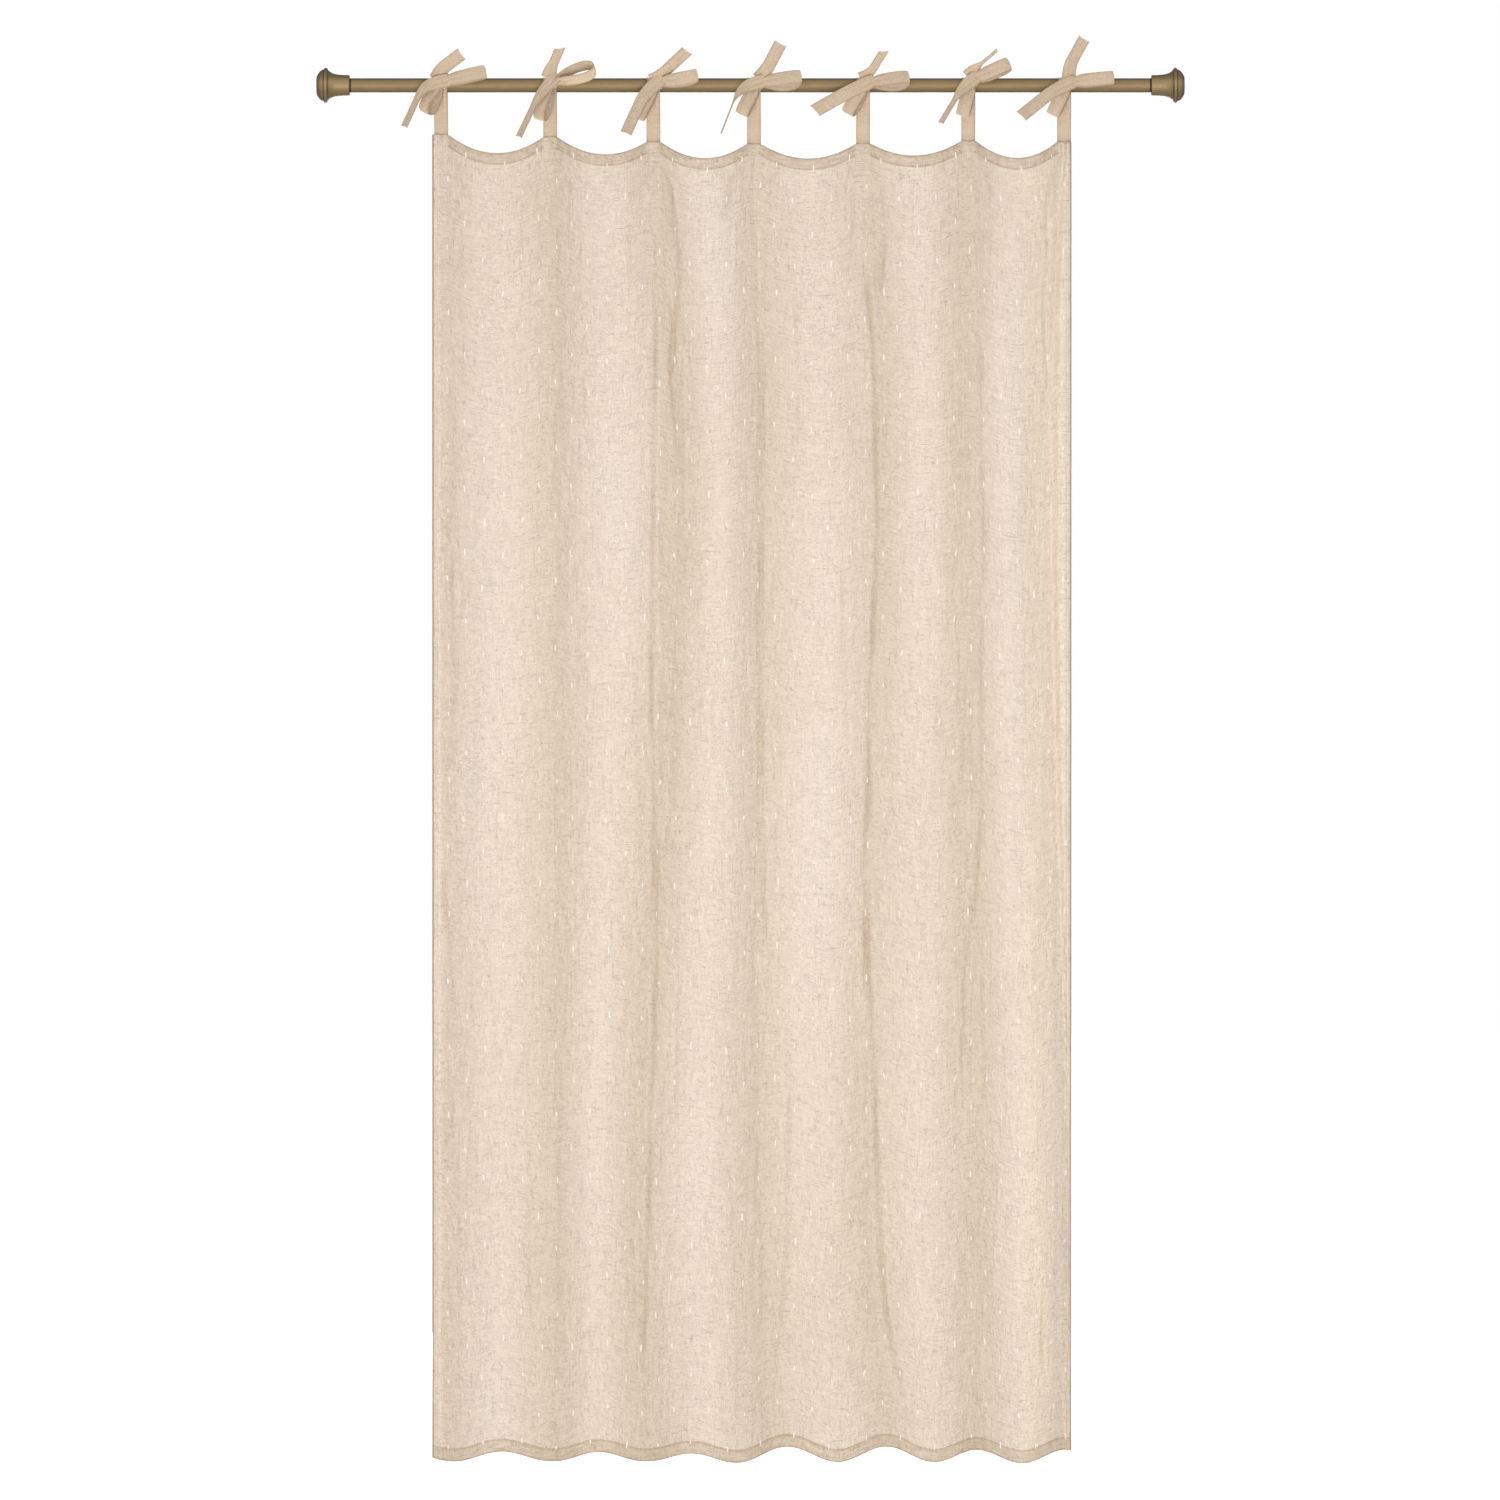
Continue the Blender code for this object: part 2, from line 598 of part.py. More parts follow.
def tie(index, rod_space, collection, helpers, material):
    """One tape: sewn behind the top hem, passed round the rod and tied in a bow in front."""
    style = TIES[index]
    label = f"tie_{index + 1}"
    x = TAPE_XS[index]
    top, back = tape_seat(index)
    knot = Vector((x + style.knot[0], KNOT_FRONT, style.knot[1]))
    tilt = (style.right_loop.angle + style.left_tail.start_angle - 180) / 2
    node = knot_core(label, knot, tilt, collection, material)
    parts = (
        strap_ribbon(f"{label}_strap", x, top, back, helpers),
        tail_ribbon(f"{label}_upper_tail", knot, style.upper_tail, False, helpers),
        loop_ribbon(f"{label}_right_loop", knot, style.right_loop, helpers),
        loop_ribbon(f"{label}_lower_loop", knot, style.lower_loop, helpers),
        tail_ribbon(f"{label}_left_tail", knot, style.left_tail, True, helpers),
    )
    for part in parts:
        boolean(node, part, "UNION")
    boolean(node, rod_space, "DIFFERENCE")
    return node


def rod_clearance(helpers):
    """The space that the rod and its clearance take from the knots."""
    space = cylinder("rod_space", ROD_RADIUS + GAP, ROD_LENGTH, ROUND_SIDES, helpers)
    space.location = (-ROD_LENGTH / 2, 0, 0)
    space.rotation_euler = (0, math.pi / 2, 0)
    return hide_helper(space)


def main():
    clear_scene()
    parts = make_collection("tie_top_curtain")
    helpers = make_collection("cutters", hidden=True)
    bronze = make_material("antique_bronze", (150, 130, 99), 0.38, 0.85)
    steel = make_material("dark_steel", (84, 78, 68), 0.45, 0.9)
    gauze = make_material("slub_gauze", (232, 213, 194), 0.9)
    tape = make_material("cloth_tape", (214, 194, 170), 0.92)
    rod_tube(parts, bronze)
    finial(-1, "left", parts, helpers, bronze, steel)
    finial(1, "right", parts, helpers, bronze, steel)
    curtain_panel(parts, gauze)
    rod_space = rod_clearance(helpers)
    for index in range(len(TIES)):
        tie(index, rod_space, parts, helpers, tape)


main()
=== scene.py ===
import math
from collections import namedtuple

import bmesh
import bpy
import numpy as np
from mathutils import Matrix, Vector


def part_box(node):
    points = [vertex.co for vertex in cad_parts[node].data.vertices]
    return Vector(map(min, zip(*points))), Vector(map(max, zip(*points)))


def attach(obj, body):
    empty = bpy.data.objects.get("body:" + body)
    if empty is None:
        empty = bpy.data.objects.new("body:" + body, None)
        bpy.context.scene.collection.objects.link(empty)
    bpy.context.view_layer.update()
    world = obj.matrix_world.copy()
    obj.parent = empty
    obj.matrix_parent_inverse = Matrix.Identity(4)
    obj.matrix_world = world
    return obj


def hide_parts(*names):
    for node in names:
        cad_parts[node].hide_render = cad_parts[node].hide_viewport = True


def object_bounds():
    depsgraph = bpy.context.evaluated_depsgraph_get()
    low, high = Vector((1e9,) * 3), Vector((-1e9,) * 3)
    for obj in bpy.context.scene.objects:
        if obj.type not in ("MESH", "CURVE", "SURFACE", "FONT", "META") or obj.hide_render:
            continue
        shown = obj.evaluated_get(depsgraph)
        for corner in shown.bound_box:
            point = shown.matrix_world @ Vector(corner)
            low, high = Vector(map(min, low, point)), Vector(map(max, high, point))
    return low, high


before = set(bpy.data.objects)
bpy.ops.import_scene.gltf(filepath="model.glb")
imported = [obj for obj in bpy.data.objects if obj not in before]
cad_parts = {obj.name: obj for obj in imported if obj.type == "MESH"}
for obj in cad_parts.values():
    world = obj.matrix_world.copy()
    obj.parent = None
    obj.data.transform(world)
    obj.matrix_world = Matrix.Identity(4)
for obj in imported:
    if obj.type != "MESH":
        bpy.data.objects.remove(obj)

CAD_BOX = [list(corner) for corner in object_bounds()]

# Sizes that the solids were made from, in metres
GAP = 0.0003
ROD_WALL = 0.0012
FINIAL_LENGTH = 0.065
TIP_RADIUS = 0.0167
DOME_RADIUS = 0.0310
DOME_DEPTH = 0.0138
DOME_FULLNESS = 1.8
BEAD_RADIUS = 0.0042
BEAD_SINK = 0.0006
NECK_RADIUS = 0.0202
FLARE_FADE = 0.0088
FLARE_SHARE = 1.4
LIP_RADIUS = 0.0014
SOCKET_DEPTH = 0.0215
FLAT_WIDTH = 1.400
HUNG_WIDTH = 1.258
HUNG_OFF_CENTRE = 0.0025
CLOTH_LENGTH = 2.600
TOP_HEM = 0.022
FOOT_HEM = 0.0245
SIDE_HEM = 0.012
VALLEY_SHARPNESS = 0.85
LEAST_BULGE = 0.014
MOST_BULGE = 0.120
FLAP_RISE = 0.45
DRIFT_LEVELS = (0.0, 0.20, 0.55, 1.0)
SCALLOP_SAGS = (0.035, 0.031, 0.032, 0.030, 0.028, 0.035)
HEM_LIFTS = (0.021, 0.021, 0.019, 0.029, 0.029, 0.023)
HEM_WAVE_SCALE = 0.914
HEM_WAVE_SHIFT = -0.0305
TAPE_WIDTH = 0.027
TAPE_THICKNESS = 0.0014
TAPE_INSET = 0.018
TAPE_SEAM = 0.018
KNOT_HALF_LENGTH = 0.0165
KNOT_HALF_WIDTH = 0.0140
KNOT_HALF_DEPTH = 0.0088
KNOT_SEATING = 0.7
LOOP_PINCH = 0.66
PINCH_REACH = 0.25
LOOP_ROOT = 0.03
LOOP_CORNER = 0.0032
DROOP_ONSET = 2
DROOP_RECOVERY = 3
BOW_LEAN = 0.20
BEND_SHARE = 0.55
UPPER_TAIL_SET_BACK = 0.001
WRAP_REACH = 0.92
WRAP_TURN = 105

# Angles in degrees in the plane of the curtain, from +X towards +Z. A turn of 0 shows a tape's
# full width to the front and a turn of 90 its edge. root: where a loose end starts, from the
# knot's middle. skew: how much further its right-hand edge reaches at the free end. droop: how
# far a loop's second layer hangs below its first.
Tail = namedtuple("Tail", "root start_angle end_angle length start_turn end_turn skew")
Loop = namedtuple("Loop", "angle length belly turn droop")
# slip: how far the tape has slid from its even place on the rod. drop: rod axis to the top of
# the cloth. drifts: how far the valley below lies from the tape at the last three levels.
# knot: the knot's middle from the tape's place on the rod's axis.
Tie = namedtuple("Tie", "slip drop drifts knot upper_tail left_tail right_loop lower_loop")
TIES = (
    Tie(0.0010, 0.0966, (0.004, 0.006, 0.008), (0.001, 0.005),
        Tail((-0.0105, 0.0060), 62, 36, 0.071, 4, 20, 0.0),
        Tail((0.0020, 0.0005), 193, 246, 0.123, 5, 60, 0.0),
        Loop(12, 0.090, 0.008, -4, 0.0), Loop(244, 0.068, 0.014, 40, 0.0)),
    Tie(0.0115, 0.1015, (0.002, 0.006, 0.004), (0.003, 0.006),
        Tail((-0.0070, 0.0070), 70, 66, 0.062, 0, 50, 0.012),
        Tail((0.0020, 0.0010), 227, 245, 0.130, 25, 62, 0.0),
        Loop(16, 0.089, 0.016, 50, 0.0), Loop(254, 0.079, 0.010, 35, 0.0)),
    Tie(0.0105, 0.1114, (0.046, 0.006, -0.014), (0.006, 0.003),
        Tail((-0.0130, 0.0080), 22, 42, 0.092, 58, 36, 0.006),
        Tail((0.0020, 0.0010), 222, 246, 0.120, 10, 32, 0.0),
        Loop(10, 0.082, 0.008, 8, 0.005), Loop(243, 0.079, 0.005, 15, 0.0)),
    Tie(0.0045, 0.1153, (0.012, 0.010, 0.036), (0.006, 0.003),
        Tail((0.0015, 0.0080), 45, 62, 0.082, 4, 24, 0.0),
        Tail((0.0020, 0.0010), 198, 249, 0.132, 8, 84, 0.0),
        Loop(7, 0.087, 0.009, -12, 0.009), Loop(244, 0.069, 0.007, 14, 0.0)),
    Tie(0.0150, 0.1143, (0.042, 0.012, 0.052), (0.006, 0.003),
        Tail((-0.0128, 0.0100), 22, 58, 0.071, 42, 55, 0.012),
        Tail((0.0020, -0.0010), 204, 210, 0.117, 6, 4, 0.006),
        Loop(6, 0.084, 0.009, -20, 0.008), Loop(239, 0.071, 0.009, 20, 0.0)),
    Tie(0.0180, 0.1094, (-0.010, 0.004, 0.006), (0.006, 0.008),
        Tail((-0.0080, 0.0075), 46, 40, 0.077, 10, 80, 0.0),
        Tail((0.0020, 0.0010), 220, 239, 0.108, 10, 68, 0.0),
        Loop(23.5, 0.080, 0.008, -10, 0.002), Loop(255, 0.072, 0.006, 6, 0.0)),
    Tie(0.0025, 0.1114, (-0.026, -0.010, 0.000), (0.007, 0.005),
        Tail((0.0010, 0.0075), 88, 61, 0.083, 10, 32, 0.0),
        Tail((0.0020, -0.0030), 204, 219, 0.116, 10, 20, 0.003),
        Loop(4.5, 0.0885, 0.006, -5, 0.0), Loop(244.5, 0.0725, 0.005, 10, 0.0)),
)

ROD_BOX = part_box("rod_tube")
ROD_HALF = ROD_BOX[1][0]
ROD_RADIUS = ROD_BOX[1][2]
BAYS = len(TIES) - 1
LEFT_EDGE = HUNG_OFF_CENTRE - HUNG_WIDTH / 2
RIGHT_EDGE = HUNG_OFF_CENTRE + HUNG_WIDTH / 2
FLAT_PITCH = (FLAT_WIDTH - 2 * TAPE_INSET) / BAYS
EDGE_TO_TAPE = TAPE_INSET * HUNG_WIDTH / FLAT_WIDTH
MEAN_DROP = sum(tie.drop for tie in TIES) / len(TIES)
FINIAL_MOUTH = ROD_HALF - SOCKET_DEPTH + GAP
BEAD_MIDDLE = FINIAL_MOUTH + FINIAL_LENGTH - DOME_DEPTH - BEAD_RADIUS
TAPE_PATH_RADIUS = ROD_RADIUS + GAP + TAPE_THICKNESS / 2
KNOT_FRONT = -(ROD_RADIUS + GAP + KNOT_HALF_DEPTH * KNOT_SEATING)

# The photograph, whose frame is 1500 pixels square
PIXEL = 0.001968
PHOTO_SIDE = 1500
PHOTO_CENTRE_X = 750.5
PHOTO_ROD_Y = 85.4

# Camera, floor and lamps. LAMPS: name, X, Y and watts
CAMERA_DISTANCE = 18.0
SENSOR_WIDTH = 36.0
FLOOR_SIZE = 60.0
FLOOR_BELOW_HEM = 0.10
FLOOR_GLOW = 0.74
STUDIO_LIGHT = 0.52
LAMP_SIZE = 2.4
LAMP_DROP = 0.15
LAMPS = (("key", -0.9, -5.6, 127), ("fill", 0.9, -5.6, 111), ("back", 0.0, 5.6, 150))

# Pale and deep colours as 0 to 255 values, and how rough each metal is
METALS = (("satin_bronze", (142, 122, 89), (138, 118, 85), 0.50),
          ("cap_bronze", (150, 130, 97), (145, 125, 92), 0.44),
          ("dark_steel", (88, 80, 68), (66, 60, 50), 0.42))
THREADS = (("ivory_thread", (245, 234, 219), (254, 250, 243)),
           ("seam_thread", (206, 184, 158), (222, 203, 180)))
THREAD_PITCH = 0.0011
# Crinkles of the weave: scale across and down, roughness, and share in the whole
CRINKLES = ((95.0, 14.0, 0.62, 0.28), (64.0, 64.0, 0.66, 0.42), (36.0, 160.0, 0.64, 0.30))

# Detail of the cloth
CLOTH_COLUMNS = 400
CLOTH_ROWS = 205
FOLD_POINTS = 41
FOLD_TRIES = 20
TURN_RADIUS = 0.0011
TURN_STEPS = 3
FACING_STEPS = 4
# The outer flank of the last fold, in shares of the flat width. There the cloth's colour takes
# painted light, and its valley keeps little of its painted shade
FLANK_START = 0.90
FLANK_RISE = 0.04
FLANK_END = 0.973
FLANK_FALL = 0.012
# Creases: how they fade at their ends and come and go, how deep a groove must be for the full
# painted shade, and the ridges beside them
CREASE_FADE = 0.09
CREASE_BEAT = 0.28
FULL_GROOVE = 0.006
RIDGE_SHARE = 0.30
RIDGE_PLACE = 2.0
RIDGE_WIDTH = 1.3
# Unevenness: wavelengths across and down, and seed
FINE_WAVES = (0.022, 0.10, 5)
FINE_HEIGHT = 0.00036
BROAD_WAVES = (0.060, 0.32, 6)
BROAD_HEIGHT = 0.0007
WAVE_BAND = 0.45
# Hem seams with their puckers, and the curl of the side edges
SEAM_WIDTH = 0.0035
SEAM_DEPTH = 0.0007
PUCKER_PITCH = 0.0135
PUCKER_DEPTH = 0.00035
SIDE_CURL = 0.0040
SIDE_CURL_WIDTH = 0.006

# Detail of the threads on the cloth
DASH_PITCH_ACROSS = 0.0750
DASH_PITCH_DOWN = 0.0655
DASH_FIRST_ROW = 0.020
DASH_STAGGER = (0.95, 0.45)
DASH_MARGIN = 0.008
DASH_FOOT_MARGIN = 0.010
DASH_JITTER = 0.0024
DASH_SEED = 21
DASH_LIFT = 0.0004
DASH_SIZES = {"Length": 0.0148, "Width": 0.0015, "Height": 0.0013, "Strand Spread": 0.0010,
              "Strands": 2, "Tilt": 0.14, "Length Spread": 0.32}
STITCH_PITCH = 0.0036
STITCH_INSET = 0.002
STITCH_LIFT = 0.0003
STITCH_BOX_SIDE = 0.004
STITCH_BOX_FOOT = 0.0028
STITCH_BOX_TOP = 0.003
STITCH_SIZES = {"Length": 0.0027, "Width": 0.0007, "Height": 0.0006, "Strands": 1,
                "Tilt": 0.08}

# Detail of the tapes
TAPE_COLUMNS = 13
TAIL_STEPS = 34
WRAP_STEPS = 12
LOOP_POINTS = 61
KNOT_RINGS = 14
KNOT_SIDES = 22
PLEATS = 2.5
PLEAT_PHASE = 0.6
PLEAT_DEPTH = 0.0013
EDGE_THINNING = 0.55
TAIL_CROWN = 0.0012
TAIL_CUT = 0.0013
LOOP_CROWN = 0.0006
# Steps of a strap in front of the rod, behind it, and over it, through this arc in degrees
STRAP_STEPS = (14, 10, 16)
STRAP_ARC = 165

# Detail of the metal
TURNED_SIDES = 72
DOME_STEPS = 24
BEAD_STEPS = 12
BEAD_ARC = 132
FLARE_STEPS = 28
LIP_STEPS = 6
ROD_CHAMFER = 0.0003


def from_photo(x, y):
    """A place in the photograph, in pixels, as X and Z on the object."""
    return (x - PHOTO_CENTRE_X) * PIXEL, (PHOTO_ROD_Y - y) * PIXEL


def smooth(fraction):
    """0 to 1 with level ends."""
    fraction = np.clip(fraction, 0.0, 1.0)
    return fraction * fraction * (3 - 2 * fraction)


# Camera, floor and light


def studio_camera():
    """Level with the middle of the photograph, far enough off to look as flat as it does."""
    data = bpy.data.cameras.new("camera")
    data.sensor_width = SENSOR_WIDTH
    data.lens = data.sensor_width * CAMERA_DISTANCE / (PHOTO_SIDE * PIXEL)
    data.clip_end = CAMERA_DISTANCE * 4
    camera = bpy.data.objects.new("camera", data)
    bpy.context.scene.collection.objects.link(camera)
    x, z = from_photo(PHOTO_SIDE / 2, PHOTO_SIDE / 2)
    camera.location = (x, -CAMERA_DISTANCE, z)
    camera.rotation_euler = (math.pi / 2, 0, 0)
    bpy.context.scene.camera = camera


def soft_lamp(name, place, aim, watts):
    data = bpy.data.lights.new(name, "AREA")
    data.shape = "SQUARE"
    data.size = LAMP_SIZE
    data.energy = watts
    lamp = bpy.data.objects.new(name, data)
    bpy.context.scene.collection.objects.link(lamp)
    lamp.location = place
    lamp.visible_camera = False
    lamp.rotation_euler = (Vector(aim) - Vector(place)).to_track_quat("-Z", "Y").to_euler()


class Nodes:
    """Adds nodes to one tree and joins them up."""

    def __init__(self, tree):
        self.tree = tree

    def add(self, kind, feeds=(), **settings):
        """A node with its settings, and a value or a socket for each named or numbered input."""
        node = self.tree.nodes.new(kind)
        for name, value in settings.items():
            setattr(node, name, value)
        for name, value in dict(feeds).items():
            self.feed(node.inputs[name], value)
        return node

    def feed(self, socket, value):
        """Gives an input a value, or joins it to a socket or to a node's first output."""
        if isinstance(value, bpy.types.Node):
            value = value.outputs[0]
        if isinstance(value, bpy.types.NodeSocket):
            self.tree.links.new(value, socket)
        else:
            socket.default_value = value

    def maths(self, operation, first, second=0.0):
        return self.add("ShaderNodeMath", {0: first, 1: second}, operation=operation)

    def times(self, first, second):
        return self.maths("MULTIPLY", first, second)

    def minus(self, first, second):
        return self.maths("SUBTRACT", first, second)

    def mix(self, share, first, second):
        """Two colours mixed."""
        node = self.add("ShaderNodeMix", data_type="RGBA")
        for index, value in ((0, share), (6, first), (7, second)):
            self.feed(node.inputs[index], value)
        return node.outputs[2]

    def tint(self, colour, mask, share, shade):
        """A colour taken this far towards a shade, in 0 to 255 values, where the mask is 1."""
        return self.mix(self.times(mask, share), colour, linear(*shade))

    def span(self, value, low, high, to_low=0.0, to_high=1.0):
        node = self.add("ShaderNodeMapRange", {"Value": value, "From Min": low, "From Max": high,
                                               "To Min": to_low, "To Max": to_high})
        return node.outputs["Result"]


def linear(red, green, blue):
    """A colour written as 0 to 255 values, as a shader takes it."""
    return tuple(((value / 255 + 0.055) / 1.055) ** 2.4 for value in (red, green, blue)) + (1.0,)


def studio_nodes(owner):
    """The empty tree of a world or material, its kinds of ray, and which rays see it directly."""
    owner.use_nodes = True
    owner.node_tree.nodes.clear()
    nodes = Nodes(owner.node_tree)
    rays = nodes.add("ShaderNodeLightPath").outputs
    return nodes, rays, nodes.maths("MAXIMUM", rays["Is Camera Ray"], rays["Is Glossy Ray"])


def studio():
    """White backdrop, pale floor, and plain soft light from the front and from behind."""
    scene = bpy.context.scene
    scene.view_settings.view_transform = "Standard"
    scene.world = bpy.data.worlds.new("studio")
    nodes, rays, seen = studio_nodes(scene.world)
    seen = nodes.maths("MAXIMUM", seen, rays["Is Transmission Ray"])
    strength = nodes.span(seen, 0.0, 1.0, STUDIO_LIGHT, 1.0)
    light = nodes.add("ShaderNodeBackground", {"Color": (1.0, 1.0, 1.0, 1.0), "Strength": strength})
    nodes.add("ShaderNodeOutputWorld", {"Surface": light})
    middle = -MEAN_DROP - CLOTH_LENGTH / 2
    for name, x, y, watts in LAMPS:
        soft_lamp(name, (x, y, middle - LAMP_DROP), (0, 0, middle), watts)
    bpy.ops.mesh.primitive_plane_add(size=FLOOR_SIZE)
    floor = bpy.context.active_object
    floor.name = "floor"
    floor.location.z = CAD_BOX[0][2] - FLOOR_BELOW_HEM
    material = bpy.data.materials.new("floor")
    nodes, _, seen = studio_nodes(material)
    paint = nodes.add("ShaderNodeBsdfDiffuse", {"Color": (0.80, 0.80, 0.80, 1.0)})
    glow = nodes.add("ShaderNodeEmission", {"Strength": nodes.times(seen, FLOOR_GLOW)})
    both = nodes.add("ShaderNodeAddShader", {0: paint, 1: glow})
    nodes.add("ShaderNodeOutputMaterial", {"Surface": both})
    floor.data.materials.append(material)


# Materials


def group_tree(name, outputs, **inputs):
    """A shader group with a Vector input, its outputs, and float inputs with their usual values."""
    tree = bpy.data.node_groups.new(name, "ShaderNodeTree")
    tree.interface.new_socket("Vector", in_out="INPUT", socket_type="NodeSocketVector")
    for label, value in inputs.items():
        socket = tree.interface.new_socket(label, in_out="INPUT", socket_type="NodeSocketFloat")
        socket.default_value = value
    for label in outputs:
        tree.interface.new_socket(label, in_out="OUTPUT", socket_type="NodeSocketFloat")
    nodes = Nodes(tree)
    return nodes, nodes.add("NodeGroupInput").outputs, nodes.add("NodeGroupOutput").inputs


def noise(nodes, vector, scale_x, scale_y, detail=2.0, roughness=0.5):
    """Noise on a flat pattern, scaled apart across and down."""
    spread = nodes.add("ShaderNodeVectorMath", {0: vector, 1: (scale_x, scale_y, 1.0)},
                       operation="MULTIPLY")
    texture = nodes.add("ShaderNodeTexNoise", {"Vector": spread, "Scale": 1.0,
                                               "Detail": detail, "Roughness": roughness})
    return texture.outputs["Fac"]


def slub_weave():
    """Plain weave of uneven threads: how high the threads stand, where thicker ones run, and how
    the cloth crinkles."""
    nodes, given, out = group_tree("slub_weave", ("Height", "Slubs", "Crinkle"), Slub=1.0)
    place = given["Vector"]
    split = nodes.add("ShaderNodeSeparateXYZ", {0: place})
    wander = nodes.times(nodes.minus(noise(nodes, place, 55.0, 55.0), 0.5), 0.0016)
    waves = []
    for label in ("X", "Y"):
        moved = nodes.maths("ADD", split.outputs[label], wander)
        waves.append(nodes.maths("SINE", nodes.times(moved, math.pi / THREAD_PITCH)))
    warp, weft = (nodes.maths("ABSOLUTE", wave) for wave in waves)
    over = nodes.span(nodes.times(*waves), -0.5, 0.5)
    height = nodes.add("ShaderNodeMix", {0: over, 2: warp, 3: weft}, data_type="FLOAT")
    upright = noise(nodes, place, 620.0, 13.0, 3.0, 0.6)
    level = noise(nodes, place, 16.0, 430.0, 3.0, 0.6)
    slubs = nodes.times(nodes.maths("ADD", upright, level), 0.5)
    slubs = nodes.times(nodes.span(slubs, 0.36, 0.66), given["Slub"])
    parts = [nodes.times(noise(nodes, place, across, down, 4.0, roughness), share)
             for across, down, roughness, share in CRINKLES]
    crinkle = nodes.maths("ADD", nodes.maths("ADD", parts[0], parts[1]), parts[2])
    for label, value in (("Height", height), ("Slubs", slubs), ("Crinkle", crinkle)):
        nodes.feed(out[label], value)
    return nodes.tree


def patina():
    """Cloudy tarnish and fine drawing lines along a turned or drawn metal piece."""
    nodes, given, out = group_tree("patina", ("Clouds", "Lines"))
    clouds = nodes.add("ShaderNodeTexNoise", {"Vector": given["Vector"], "Scale": 38.0,
                                              "Detail": 5.0, "Roughness": 0.62})
    thin = nodes.add("ShaderNodeVectorMath", {0: given["Vector"], 1: (0.015, 1.0, 1.0)},
                     operation="MULTIPLY")
    lines = nodes.add("ShaderNodeTexNoise", {"Vector": thin, "Scale": 900.0, "Detail": 2.0})
    nodes.feed(out["Clouds"], clouds.outputs["Fac"])
    nodes.feed(out["Lines"], lines.outputs["Fac"])
    return nodes.tree


def new_material(name):
    material = bpy.data.materials.new(name)
    material.use_nodes = True
    tree = material.node_tree
    return material, Nodes(tree), tree.nodes["Principled BSDF"]


def use_group(nodes, tree, vector, **values):
    node = nodes.add("ShaderNodeGroup", node_tree=tree)
    nodes.feed(node.inputs["Vector"], vector)
    for name, value in values.items():
        node.inputs[name].default_value = value
    return node.outputs


def bump(nodes, height, distance, strength, normal=None):
    feeds = {"Height": height, "Distance": distance, "Strength": strength}
    if normal is not None:
        feeds["Normal"] = normal
    return nodes.add("ShaderNodeBump", feeds).outputs["Normal"]


def woven_finish(nodes, shader, threads, colour, *bumps):
    """The rest of a woven material: its dry surface, and its bumps with the threads on top."""
    nodes.feed(shader.inputs["Base Color"], colour)
    nodes.feed(shader.inputs["Roughness"], nodes.span(threads["Slubs"], 0.0, 1.0, 0.86, 0.97))
    shader.inputs["Specular IOR Level"].default_value = 0.08
    normal = None
    for height, distance, strength in (*bumps, (threads["Height"], 0.0004, 0.6)):
        normal = bump(nodes, height, distance, strength, normal)
    nodes.feed(shader.inputs["Normal"], normal)


